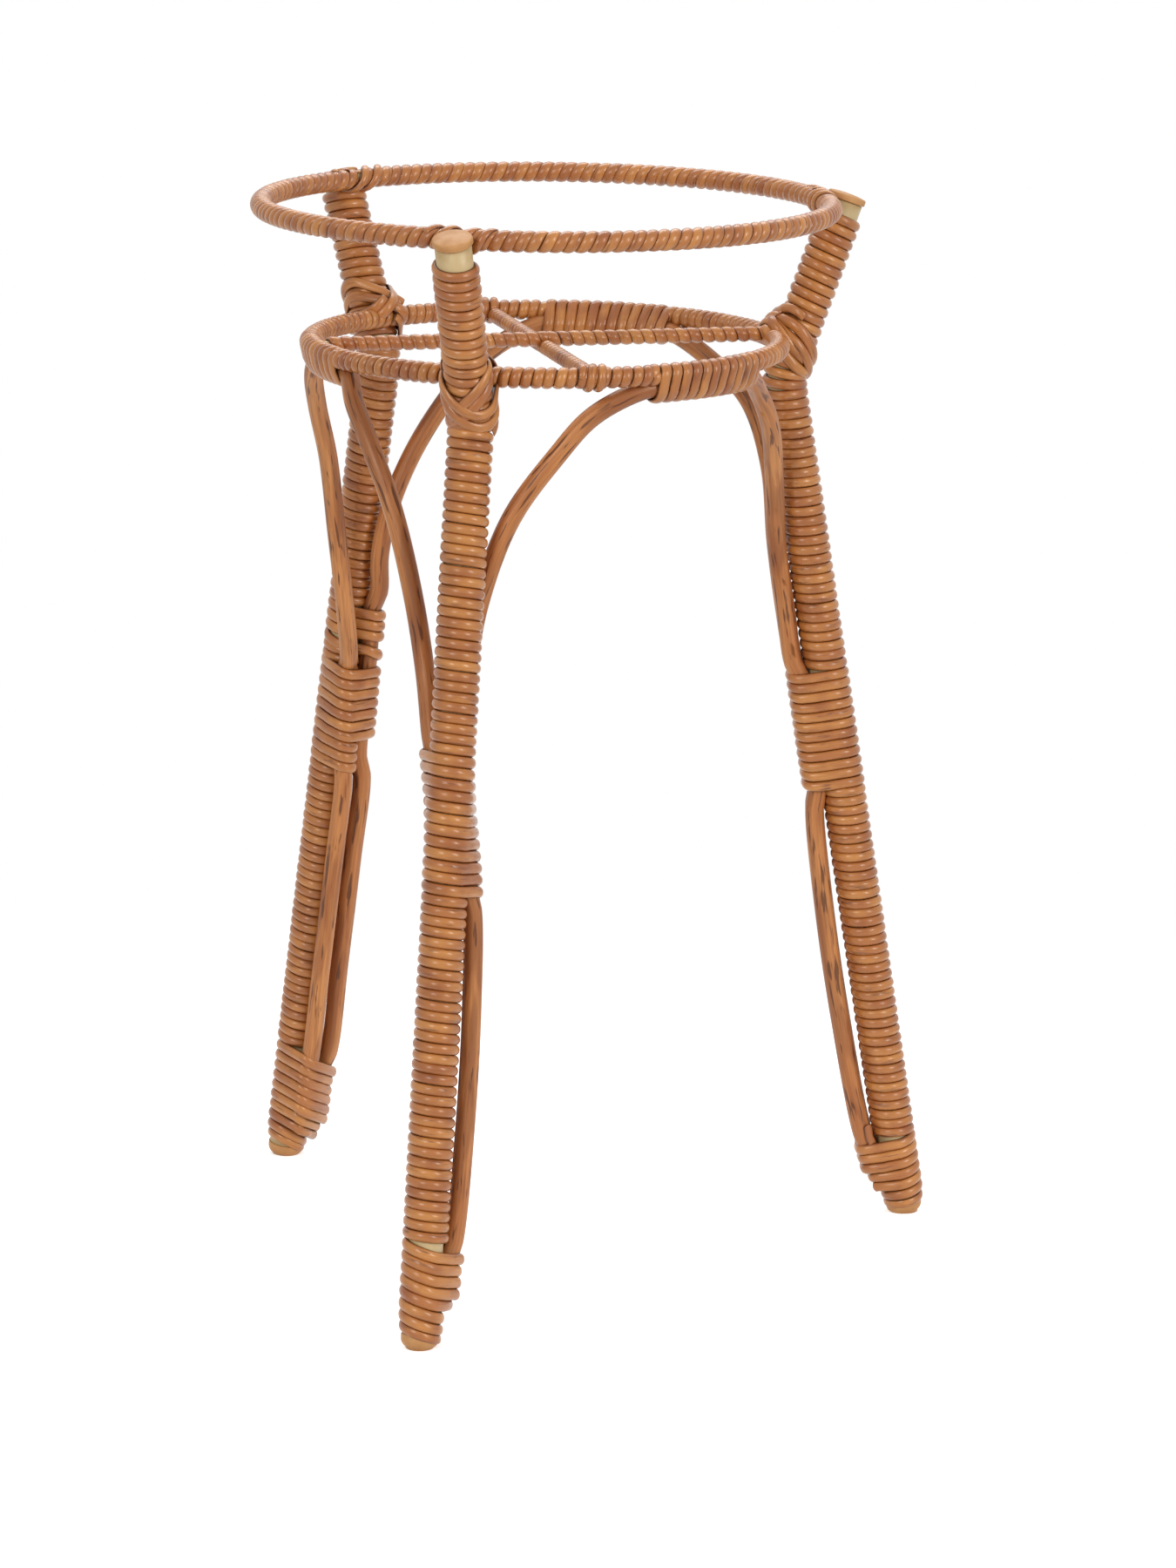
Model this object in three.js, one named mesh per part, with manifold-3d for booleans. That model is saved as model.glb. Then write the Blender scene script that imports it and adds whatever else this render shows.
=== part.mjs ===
// Three-legged wicker plant stand: bent metal tubes and two ring hoops, wound with half-round strand,
// with three bent arch rods that are bound to the legs and to the shelf hoop.
// Units are millimetres, +Z is up. Leg C points along +X, legs B and A follow at +120 and -120 degrees.

import * as THREE from 'three';
import { mergeVertices } from 'three/addons/utils/BufferGeometryUtils.js';
import Module from 'manifold-3d';

const wasm = await Module();
wasm.setup();

// ---------------------------------------------------------------- driving sizes
const DEG = Math.PI / 180;
const FIT = 0.3;                    // gap between two pieces that touch

const LEG_COUNT = 3;
const TUBE_RADIUS = 11;             // bent leg tube
const TUBE_WALL = 1.2;
const FOOT_RADIUS = 246.5;          // leg axis at the floor, from the stand's axis
const KNEE_RADIUS = 153.5;          // where the leg changes direction
const KNEE_HEIGHT = 553;
const KNEE_BEND = 45;               // centre-line radius of the bend
const FLARE = 19.8 * DEG;           // upper leg, from the vertical
const UPPER_RISE = 107.5;           // end of the tube above the knee, on its axis
const TUBE_FOOT_HEIGHT = 8.5;
const TUBE_SIDES = 12;

const CAP_LIP = 1.2;                // top cap's brim past the tube
const CAP_SIDE = 3;
const CAP_DOME = 2.2;
const PLUG_LENGTH = 10;
const FOOT_LIP = 0.6;               // foot cap's side past the tube
const FOOT_TAPER = 3.4;
const FOOT_SIDE = 3.4;
const CAP_SEGMENTS = 14;

const HOOP_WIRE_RADIUS = 4;         // solid wire of both hoops
const HOOP_STEP = 8 * DEG;
const HOOP_ABOVE_TUBE = 1;          // top hoop's centre line above the end of the tube
const SHELF_RISE = 23;              // shelf hoop's centre line above the knee
const BAR_WIRE_RADIUS = 2.2;        // cross bars of the shelf

const ROD_RADIUS = 6;               // arch rods
const ROD_SIDES = 8;
const ROD_CURVED_SPANS = 12;        // spans each side of the crown that get a station half way
const ROD_FOOT_HEIGHT = 24;
const ROD_BOW = 4.2;                // how far a rod stands off the wound leg half way down
const BOW_BELOW = 32;               // where the bow starts and ends, from half way between the bindings
const BOW_ABOVE = 40;
const ROD_SEAT = 0.1;               // a rod's extra gap to the tube under a binding
const ROD_CLEAR = 0.4;              // and to the wound leg beside it
const ROD_RELEASE = 2;              // how far under a binding's top its rods start to part from the tube
const PASS_RELEASE = 1.5;             // the same for a rod that passes over turns round its neighbour only
const PASS_CLEAR = 1.5;
const PASS_RISE = 5;
const ROD_STRAIGHT = 8;             // straight run of a rod under its release

const STRAND_THICK = 2.7;           // half-round strand
const WRAP_PITCH = 6.3;             // turns of a leg wrap
const FOOT_PITCH = 6.5;             // turns of the binding at the foot

const HOOP_WRAP_THICK = 2.5;        // strand on the hoops, lying flatter
const BAR_WRAP_THICK = 2.1;

const LASH_PITCH = 5.6;             // lashings at the hoops
const SHELF_TILT = 40 * DEG;
const TOP_TILT = -32 * DEG;
const TOP_SHIFT = -8;               // how far round the hoop the top lashing crosses it
const HOOP_BULGE = 0.6;             // room for the hoop's curve inside a straight lashing
const TOP_DIP = 16 * DEG;
const SOLO_JUMP = 1.5;                // extra pitches climbed before a binding's turns round one rod only
const FOOT_LAG = 1.1;               // turns from where the foot binding widens up to the rods' ends
const STRAND_GAP = 0.5;             // between neighbouring turns of a binding
const TURN_STEPS = 8;               // stations to a turn of a mid binding
const WRAP_STEPS = 7;
const FOOT_STEPS = 7;
const LASH_STEPS = 7;
const LASH_TURNS = 2;
const LASH_SLACK = 0.5;             // how far a lashing stands off what it goes round
const FUSED_SLACK = 1.3;            // and where two lashings are fused
const OVER_SLACK = 1.2;
const TOP_SLACK = 0.6;
const WRAP_SIDES = 12;              // sides of the sleeve of turns on a leg
const TOP_LASH_SPACE = 14.5;        // wire left free beside a wound leg, for the lashing
const SHELF_LASH_SPACE = 5;
const LASH_END_SPACE = 3;           // room for the strand's ends at the inner side of the hoop
const ARCH_WRAP_INSET = 1.2 * DEG;
const ARCH_WRAP_EASE = 0.6;         // room for the rod's bend inside an arch binding
const ARCH_WRAP_SKIP = 3.4 * DEG;   // between an arch binding and the thin wrap beside it
const CROWN_INWARD = 5;             // rod centre from the wire centre, under the shelf hoop

const MID_HEIGHT_A = 270;           // lower edge of the binding half way up each leg
const MID_HEIGHT_B = 280;
const MID_HEIGHT_C = 285;
const MID_PITCH_A = 7.05;
const MID_PITCH_B = 7.15;
const MID_PITCH_C = 6.5;
const FOOT_BINDING_HEIGHT = 8.5;    // lower edge of the binding at the foot
const BARE = 9;                     // tube left bare between a leg wrap and a binding
const SHELF_LASH_REACH = 21;        // half length of tube that the shelf lashing covers
const TOP_BARE = 10;                // bare tube under the top cap
const TOP_LASH_DEPTH = 18;          // leg height that the top lashing takes on the outer face

const ARCH_BIND_HALF = 18 * DEG;    // half the arc over which an arch is bound to the hoop

// Each leg: azimuth, turn of its rod pair about the tube below and above the mid binding, how far each rod
// spreads from the other there, turns of the binding at the foot, winding hand, whether its shin wrap is laid
// in turns, how far its rods bow out below the mid binding, and that binding, whose last turns may go round
// one rod only.
const LEGS = [
  {
    name: 'a', azimuth: -120 * DEG, pairTurns: [16 * DEG, -35 * DEG], pairSpreads: [0, 0],
    footTurns: 7, hand: -1, shinTurns: true, rodBow: ROD_BOW,
    midHeight: MID_HEIGHT_A, midPitch: MID_PITCH_A, midTurns: 12, soloTurns: 0,
  },
  {
    name: 'b', azimuth: 120 * DEG, pairTurns: [-11.5 * DEG, 14 * DEG], pairSpreads: [7.5 * DEG, 7.5 * DEG],
    footTurns: 9, hand: -1, shinTurns: false, rodBow: 0.8,
    midHeight: MID_HEIGHT_B, midPitch: MID_PITCH_B, midTurns: 10, soloTurns: 4,
  },
  {
    name: 'c', azimuth: 0, pairTurns: [16 * DEG, 16 * DEG], pairSpreads: [0, 0],
    footTurns: 6, hand: 1, shinTurns: true, rodBow: ROD_BOW,
    midHeight: MID_HEIGHT_C, midPitch: MID_PITCH_C, midTurns: 12, soloTurns: 0,
  },
];

// The shoulder that an arch makes before it reaches the hoop, at five heights: the first two are shares of
// the way from the binding's top to the third, and the last three are drops below the shelf hoop. Each has
// its offsets from the leg axis, inward and sideways.
const SHOULDER_SHARES = [0.31, 0.63];
const SHOULDER_DROPS = [86, 48, 24.5];
const WIDE_SHOULDER = [[23, 27], [20.5, 36], [18.8, 51], [22, 69], [32, 84]];
const WIDER_SHOULDER = [[23, 26.5], [20.5, 37.5], [18.8, 51], [22, 69], [32, 84]];
const CLOSE_SHOULDER = [[18, 13], [16.5, 16], [10.5, 27], [12, 50], [28, 71]];
const BEHIND_SHOULDER = [[21.5, -1], [22, 5], [21, 22], [25, 47], [34, 66]];
const INNER_SHOULDER = [[21, 1.8], [21.5, 5.5], [21, 22], [25, 47], [34, 66]];

// Each arch: the legs it joins (counter-clockwise) and its shoulder at each of them.
const ARCHES = [
  { name: 'ab', from: 1, to: 0, shoulders: [WIDER_SHOULDER, WIDE_SHOULDER] },
  { name: 'bc', from: 2, to: 1, shoulders: [CLOSE_SHOULDER, INNER_SHOULDER] },
  { name: 'ca', from: 0, to: 2, shoulders: [BEHIND_SHOULDER, INNER_SHOULDER] },
];

// ---------------------------------------------------------------- derived sizes
const SPLAY = Math.atan((FOOT_RADIUS - KNEE_RADIUS) / KNEE_HEIGHT);
const BORE_RADIUS = TUBE_RADIUS - TUBE_WALL;
const CAP_BRIM_RADIUS = TUBE_RADIUS + CAP_LIP;
const FOOT_CAP_RADIUS = TUBE_RADIUS + FOOT_LIP;
const FOOT_TIP_RADIUS = FOOT_CAP_RADIUS - FOOT_TAPER;
const TUBE_TOP_HEIGHT = KNEE_HEIGHT + UPPER_RISE;
const TOP_HOOP_HEIGHT = TUBE_TOP_HEIGHT + HOOP_ABOVE_TUBE;
const SHELF_HOOP_HEIGHT = KNEE_HEIGHT + SHELF_RISE;
const HOOP_REACH = (TUBE_RADIUS + HOOP_WIRE_RADIUS + FIT) / Math.cos(FLARE);
const upperRadiusAt = (z) => KNEE_RADIUS + (z - KNEE_HEIGHT) * Math.tan(FLARE);
const lowerRadiusAt = (z) => FOOT_RADIUS - z * Math.tan(SPLAY);
const TOP_HOOP_RADIUS = upperRadiusAt(TOP_HOOP_HEIGHT) - HOOP_REACH;
const SHELF_HOOP_RADIUS = upperRadiusAt(SHELF_HOOP_HEIGHT) - HOOP_REACH;
const HOOP_CONTACT_DROP = (TUBE_RADIUS + HOOP_WIRE_RADIUS + FIT) * Math.sin(FLARE);
const LEG_WRAP_RADIUS = TUBE_RADIUS + FIT + STRAND_THICK;
const ROD_REACH = TUBE_RADIUS + ROD_RADIUS + FIT;

const WIRE_REACH = TUBE_RADIUS + HOOP_WIRE_RADIUS + FIT;
const KNEE_REACH = KNEE_BEND * Math.tan((SPLAY + FLARE) / 2);
const SHELF_CONTACT = SHELF_HOOP_HEIGHT - HOOP_CONTACT_DROP;
const TOP_CONTACT = TOP_HOOP_HEIGHT - HOOP_CONTACT_DROP;
const LASH_INNER_REACH = HOOP_WIRE_RADIUS + FIT + STRAND_THICK + LASH_END_SPACE;
const TOP_WRAP_SKIP = LEG_WRAP_RADIUS + TOP_LASH_SPACE;
const SHELF_WRAP_SKIP = LEG_WRAP_RADIUS + SHELF_LASH_SPACE;
const CROWN_DROP = Math.sqrt((HOOP_WIRE_RADIUS + ROD_RADIUS + FIT) ** 2 - CROWN_INWARD ** 2);
const CROWN_RADIUS = SHELF_HOOP_RADIUS - CROWN_INWARD;
const CROWN_HEIGHT = SHELF_HOOP_HEIGHT - CROWN_DROP - FIT;
const ARCH_SLEEVE_INWARD = CROWN_INWARD + ROD_RADIUS - HOOP_WIRE_RADIUS + ARCH_WRAP_EASE + FIT;

// ---------------------------------------------------------------- looks
const LOOKS = {
  tube: { color: 0xd6c394, roughness: 0.45, metalness: 0.15 },
  strand: { color: 0xc48448, roughness: 0.48, metalness: 0 },
  rod: { color: 0xb5763f, roughness: 0.42, metalness: 0 },
  cap: { color: 0xc79556, roughness: 0.55, metalness: 0 },
};

const stand = new THREE.Group();

function add(name, geometry, look) {
  const mesh = new THREE.Mesh(geometry, new THREE.MeshStandardMaterial(LOOKS[look]));
  mesh.name = name;
  stand.add(mesh);
  return mesh;
}

// ---------------------------------------------------------------- solids
function toSolid(geometry) {
  const plain = geometry.clone();
  plain.deleteAttribute('normal');
  plain.deleteAttribute('uv');
  const merged = mergeVertices(plain, 1e-4);
  return new wasm.Manifold(new wasm.Mesh({
    numProp: 3,
    vertProperties: Float32Array.from(merged.attributes.position.array),
    triVerts: Uint32Array.from(merged.index.array),
  }));
}

function toGeometry(solid) {
  const mesh = solid.getMesh();
  const geometry = new THREE.BufferGeometry();
  geometry.setAttribute('position', new THREE.BufferAttribute(new Float32Array(mesh.vertProperties), 3));
  geometry.setIndex(new THREE.BufferAttribute(new Uint32Array(mesh.triVerts), 1));
  geometry.computeVertexNormals();
  return geometry;
}

function circle(radius, sides, x = 0, y = 0) {
  const points = [];
  for (let i = 0; i < sides; i += 1) {
    const angle = (i + 0.5) * 2 * Math.PI / sides;
    points.push(new THREE.Vector2(x + radius * Math.cos(angle), y + radius * Math.sin(angle)));
  }
  return points;
}

function section(outline, hole) {
  const shape = new THREE.Shape(outline);
  if (hole) {
    shape.holes.push(new THREE.Path(hole));
  }
  return shape;
}

// A curve through stations, with one ring of an extrusion at each station.
class StationPath extends THREE.Curve {
  constructor(points) {
    super();
    this.points = points;
  }

  getPoint(t, target = new THREE.Vector3()) {
    const place = t * (this.points.length - 1);
    const i = Math.min(Math.floor(place + 1e-9), this.points.length - 2);
    return target.lerpVectors(this.points[i], this.points[i + 1], place - i);
  }

  getPointAt(u, target) {
    return this.getPoint(u, target);
  }

  getTangent(t, target = new THREE.Vector3()) {
    const last = this.points.length - 1;
    const i = Math.round(t * last);
    const before = this.points[Math.max(i - 1, 0)];
    const after = this.points[Math.min(i + 1, last)];
    return target.subVectors(after, before).normalize();
  }

  getTangentAt(u, target) {
    return this.getTangent(u, target);
  }
}

// Stations round a hoop: its ends, and every whole step between them, so that pieces on one hoop match.
function hoopStations(radius, height, start, end) {
  const first = Math.floor(start / HOOP_STEP) + 1;
  const last = Math.ceil(end / HOOP_STEP) - 1;
  const corner = (index) => polar(index * HOOP_STEP, radius, 0, height);
  const points = [corner(first - 1).lerp(corner(first), start / HOOP_STEP - first + 1)];
  for (let index = first; index <= last; index += 1) {
    points.push(corner(index));
  }
  points.push(corner(last).lerp(corner(last + 1), end / HOOP_STEP - last));
  return points;
}

function extrudeAlong(path, steps, shape) {
  return new THREE.ExtrudeGeometry(shape, { extrudePath: path, steps, bevelEnabled: false });
}

// ---------------------------------------------------------------- leg frames
function polar(azimuth, radius, side, height) {
  return new THREE.Vector3(
    radius * Math.cos(azimuth) - side * Math.sin(azimuth),
    radius * Math.sin(azimuth) + side * Math.cos(azimuth),
    height,
  );
}

// Local frame on a straight part of a leg, where the axis passes the given height.
function legFrame(leg, height, upper = false) {
  const lean = upper ? FLARE : -SPLAY;
  const radius = upper ? upperRadiusAt(height) : lowerRadiusAt(height);
  return {
    origin: polar(leg.azimuth, radius, 0, height),
    out: polar(leg.azimuth, Math.cos(lean), 0, -Math.sin(lean)),
    side: polar(leg.azimuth, 0, 1, 0),
    up: polar(leg.azimuth, Math.sin(lean), 0, Math.cos(lean)),
  };
}

function inFrame(frame, out, side, up) {
  return frame.origin.clone()
    .addScaledVector(frame.out, out)
    .addScaledVector(frame.side, side)
    .addScaledVector(frame.up, up);
}

function placeInFrame(geometry, frame) {
  const basis = new THREE.Matrix4().makeBasis(frame.out, frame.side, frame.up);
  basis.setPosition(frame.origin);
  return geometry.clone().applyMatrix4(basis);
}

function lathe(profile, segments) {
  return new THREE.LatheGeometry(profile.map(([r, z]) => new THREE.Vector2(r, z)), segments)
    .rotateX(Math.PI / 2);
}

// ---------------------------------------------------------------- legs and caps
function legStations(leg) {
  const foot = legFrame(leg, TUBE_FOOT_HEIGHT).origin;
  const top = legFrame(leg, TUBE_TOP_HEIGHT, true).origin;
  const knee = legFrame(leg, KNEE_HEIGHT, true).origin;
  const reach = KNEE_BEND * Math.tan((SPLAY + FLARE) / 2);
  const start = knee.clone().addScaledVector(legFrame(leg, KNEE_HEIGHT).up, -reach);
  const end = knee.clone().addScaledVector(legFrame(leg, KNEE_HEIGHT, true).up, reach);
  const bend = new THREE.QuadraticBezierCurve3(start, knee, end);
  return [foot, ...bend.getPoints(5), top];
}

function buildLegs() {
  for (const leg of LEGS) {
    const stations = legStations(leg);
    const pipe = section(circle(TUBE_RADIUS, TUBE_SIDES), circle(BORE_RADIUS, TUBE_SIDES));
    add(`leg_tube_${leg.name}`, extrudeAlong(new StationPath(stations), stations.length - 1, pipe), 'tube');

    const plug = BORE_RADIUS * Math.cos(Math.PI / TUBE_SIDES) - FIT;
    const topCap = lathe([
      [0, -PLUG_LENGTH],
      [plug, -PLUG_LENGTH],
      [plug, FIT],
      [CAP_BRIM_RADIUS, FIT],
      [CAP_BRIM_RADIUS, CAP_SIDE],
      [CAP_BRIM_RADIUS - 1.4, CAP_SIDE + CAP_DOME * 0.55],
      [CAP_BRIM_RADIUS * 0.5, CAP_SIDE + CAP_DOME * 0.92],
      [0, CAP_SIDE + CAP_DOME],
    ], CAP_SEGMENTS);
    add(`top_cap_${leg.name}`, placeInFrame(topCap, legFrame(leg, TUBE_TOP_HEIGHT, true)), 'cap');

    const drop = TUBE_FOOT_HEIGHT / Math.cos(SPLAY) + FOOT_TIP_RADIUS * Math.tan(SPLAY) + 1;
    const footCap = lathe([
      [0, -drop],
      [FOOT_TIP_RADIUS, -drop],
      [FOOT_CAP_RADIUS, -FOOT_SIDE],
      [FOOT_CAP_RADIUS, -FIT],
      [plug, -FIT],
      [plug, PLUG_LENGTH],
      [0, PLUG_LENGTH],
    ], CAP_SEGMENTS);
    const shoe = toSolid(placeInFrame(footCap, legFrame(leg, TUBE_FOOT_HEIGHT)));
    const room = new THREE.BoxGeometry(80, 80, 80).translate(...legFrame(leg, 0).origin.toArray());
    const aboveFloor = toSolid(room.translate(0, 0, 40));
    add(`foot_cap_${leg.name}`, toGeometry(shoe.intersect(aboveFloor)), 'cap');
  }
}

// ---------------------------------------------------------------- hoops and cross bars
function buildHoops() {
  const rounds = Math.round(2 * Math.PI / HOOP_STEP);
  const top = new THREE.TorusGeometry(TOP_HOOP_RADIUS, HOOP_WIRE_RADIUS, 6, rounds);
  add('top_hoop_wire', top.translate(0, 0, TOP_HOOP_HEIGHT), 'tube');
  const shelf = new THREE.TorusGeometry(SHELF_HOOP_RADIUS, HOOP_WIRE_RADIUS, 6, rounds);
  add('shelf_hoop_wire', shelf.translate(0, 0, SHELF_HOOP_HEIGHT), 'tube');
}

const BAR_LEVEL = BAR_WIRE_RADIUS + FIT / 2;
const BAR_END = SHELF_HOOP_RADIUS * Math.cos(HOOP_STEP / 2) - HOOP_WIRE_RADIUS - FIT;
const BARS = [
  { name: 'x', azimuth: 0, level: SHELF_HOOP_HEIGHT + BAR_LEVEL },
  { name: 'y', azimuth: Math.PI / 2, level: SHELF_HOOP_HEIGHT - BAR_LEVEL },
];

function barBlank(bar, radius, from, to, sides) {
  const rod = new THREE.CylinderGeometry(radius, radius, to - from, sides);
  return rod.rotateZ(-Math.PI / 2).translate((from + to) / 2, 0, 0)
    .rotateZ(bar.azimuth).translate(0, 0, bar.level);
}

// The straight ways that the bar wires take through windings on the shelf hoop.
function withoutBars(geometry) {
  let solid = toSolid(geometry);
  for (const bar of BARS) {
    const way = barBlank(bar, BAR_WIRE_RADIUS + FIT, -SHELF_HOOP_RADIUS - 1, SHELF_HOOP_RADIUS + 1, 8);
    solid = solid.subtract(toSolid(way));
  }
  return toGeometry(solid);
}

function buildBars() {
  const wrapRadius = BAR_WIRE_RADIUS + FIT + BAR_WRAP_THICK;
  const inner = wrapRadius + FIT;
  const hoopWrap = HOOP_WIRE_RADIUS + FIT + HOOP_WRAP_THICK;
  for (const bar of BARS) {
    add(`cross_bar_${bar.name}`, barBlank(bar, BAR_WIRE_RADIUS, -BAR_END, BAR_END, 8), 'tube');
    for (const end of [1, -1]) {
      const meetsLeg = bar.name === 'x' && end === 1;
      const meetsArch = bar.name === 'x' && end === -1;
      const hug = meetsLeg ? LASH_INNER_REACH : hoopWrap + (meetsArch ? ARCH_SLEEVE_INWARD : 0);
      const outer = SHELF_HOOP_RADIUS - hug - FIT;
      const sleeve = lathe([
        [BAR_WIRE_RADIUS + FIT, inner],
        [wrapRadius, inner],
        [wrapRadius, outer],
        [BAR_WIRE_RADIUS + FIT, outer],
        [BAR_WIRE_RADIUS + FIT, inner],
      ], 8);
      sleeve.rotateY(Math.PI / 2).rotateZ(bar.azimuth + (end < 0 ? Math.PI : 0)).translate(0, 0, bar.level);
      add(`bar_wrap_${bar.name}_${end > 0 ? 'out' : 'back'}`, sleeve, 'strand');
    }
  }
}

// ---------------------------------------------------------------- windings
// How far a round bar reaches in a direction that lies in a plane that cuts it.
function reachOf(round, frame, angle) {
  const { e1, e2, normal, origin } = frame;
  const a1 = e1.dot(round.axis);
  const a2 = e2.dot(round.axis);
  const an = normal.dot(round.axis);
  const along = origin.clone().sub(round.point).dot(normal) / an;
  const centre = round.point.clone().addScaledVector(round.axis, along).sub(origin);
  const x = Math.cos(angle);
  const y = Math.sin(angle);
  const spread = (1 - a2 * a2) * x * x + 2 * a1 * a2 * x * y + (1 - a1 * a1) * y * y;
  return centre.dot(e1) * x + centre.dot(e2) * y + round.radius * Math.sqrt(spread) / Math.abs(an);
}

// Stations of a strand wound round a bundle of bars. Each lies where two neighbouring tangent lines of
// the bundle meet, so that no straight run between two stations cuts a bar.
function windStations({ origin, e1, e2, rounds, climb, turns, perTurn, hand = 1, begin = 0, lift = FIT }) {
  const normal = e1.clone().cross(e2);
  const step = hand * 2 * Math.PI / perTurn;
  const stations = [];
  for (let i = 0; i <= Math.round(turns * perTurn); i += 1) {
    const angle = begin + i * step;
    const turn = i / perTurn;
    const frame = { e1, e2, normal, origin: origin.clone().addScaledVector(normal, climb(turn)) };
    const bundle = typeof rounds === 'function' ? rounds(turn) : rounds;
    const near = Math.max(...bundle.map((round) => reachOf(round, frame, angle - step / 2))) + lift;
    const next = Math.max(...bundle.map((round) => reachOf(round, frame, angle + step / 2))) + lift;
    const x = (near * Math.sin(angle + step / 2) - next * Math.sin(angle - step / 2)) / Math.sin(step);
    const y = (next * Math.cos(angle - step / 2) - near * Math.cos(angle + step / 2)) / Math.sin(step);
    const point = frame.origin.clone().addScaledVector(e1, x).addScaledVector(e2, y);
    const host = bundle.reduce((a, b) => (reachOf(b, frame, angle) > reachOf(a, frame, angle) ? b : a));
    const arm = point.clone().sub(host.point);
    stations.push({ point, out: arm.addScaledVector(host.axis, -arm.dot(host.axis)).normalize() });
  }
  return stations;
}

// The half-round section, flat side in: width along the first number, thickness along the second.
function strandSection(width, thick) {
  return [[-0.5, 0], [0.5, 0], [0.36, 0.74], [-0.36, 0.74]].map(([w, t]) => [w * width, t * thick / 0.74]);
}

function strandGeometry(stations, width, thick) {
  const outline = strandSection(width, thick);
  const sides = outline.length;
  const positions = [];
  const index = [];
  stations.forEach(({ point, out }, i) => {
    const before = stations[Math.max(i - 1, 0)].point;
    const after = stations[Math.min(i + 1, stations.length - 1)].point;
    const ahead = after.clone().sub(before).normalize();
    const across = ahead.clone().cross(out).normalize();
    const up = across.clone().cross(ahead);
    for (const [w, t] of outline) {
      positions.push(...point.clone().addScaledVector(across, w).addScaledVector(up, t).toArray());
    }
  });
  const last = (stations.length - 1) * sides;
  for (let k = 0; k < sides; k += 1) {
    const next = (k + 1) % sides;
    for (let ring = 0; ring < last; ring += sides) {
      index.push(ring + k, ring + next, ring + sides + next, ring + k, ring + sides + next, ring + sides + k);
    }
    if (k > 0 && k < sides - 1) {
      index.push(0, k + 1, k, last, last + k, last + k + 1);
    }
  }
  const geometry = new THREE.BufferGeometry();
  geometry.setAttribute('position', new THREE.Float32BufferAttribute(positions, 3));
  geometry.setIndex(index);
  if (signedVolume(geometry) < 0) {
    geometry.index.array.reverse();
  }
  geometry.computeVertexNormals();
  return geometry;
}

function signedVolume(geometry) {
  const at = geometry.attributes.position;
  const ids = geometry.index.array;
  const corner = [new THREE.Vector3(), new THREE.Vector3(), new THREE.Vector3()];
  let sum = 0;
  for (let i = 0; i < ids.length; i += 3) {
    corner.forEach((v, k) => v.fromBufferAttribute(at, ids[i + k]));
    sum += corner[0].dot(corner[1].clone().cross(corner[2])) / 6;
  }
  return sum;
}

// Least gap between neighbouring turns, measured on the points of the strand's section.
function leastGap(geometry, sides, perTurn) {
  const at = geometry.attributes.position;
  const count = at.count / sides;
  const a = new THREE.Vector3();
  const b = new THREE.Vector3();
  let least = Infinity;
  for (let i = 0; i < count; i += 1) {
    for (let j = i + Math.ceil(perTurn / 2); j < Math.min(count, i + perTurn * 1.5); j += 1) {
      for (let p = 0; p < sides * sides; p += 1) {
        a.fromBufferAttribute(at, i * sides + Math.floor(p / sides));
        b.fromBufferAttribute(at, j * sides + (p % sides));
        least = Math.min(least, a.distanceTo(b));
      }
    }
  }
  return least;
}

// ---------------------------------------------------------------- arch rods
const CLEAR_REACH = LEG_WRAP_RADIUS + FIT + ROD_RADIUS + FIT;
const bindingTop = (leg, solo) => leg.midHeight
  + (leg.midTurns + (solo && leg.soloTurns ? leg.soloTurns + SOLO_JUMP : 0)) * leg.midPitch * Math.cos(SPLAY);
const footTop = (leg) => FOOT_BINDING_HEIGHT + leg.footTurns * FOOT_PITCH * Math.cos(SPLAY);

// A rod beside its leg: the pair straddles the inward side, turned about the tube and spread by the leg's own
// amounts, which change along the mid binding. The rods keep a fit between them where they slant.
function rodBeside(leg, sign, height, reach) {
  const length = bindingTop(leg, true) - leg.midHeight;
  const share = Math.min(Math.max((height - leg.midHeight) / length, 0), 1);
  const [turn, change] = [leg.pairTurns[0], leg.pairTurns[1] - leg.pairTurns[0]];
  const spread = leg.pairSpreads[0] + share * (leg.pairSpreads[1] - leg.pairSpreads[0]);
  const slant = Math.atan(ROD_REACH * change / length);
  const half = Math.asin((ROD_RADIUS + FIT / 2) / ROD_REACH / Math.cos(slant)) + spread;
  const angle = sign * half + turn + share * change;
  return inFrame(legFrame(leg, height), -reach * Math.cos(angle), reach * Math.sin(angle), 0);
}

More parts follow.
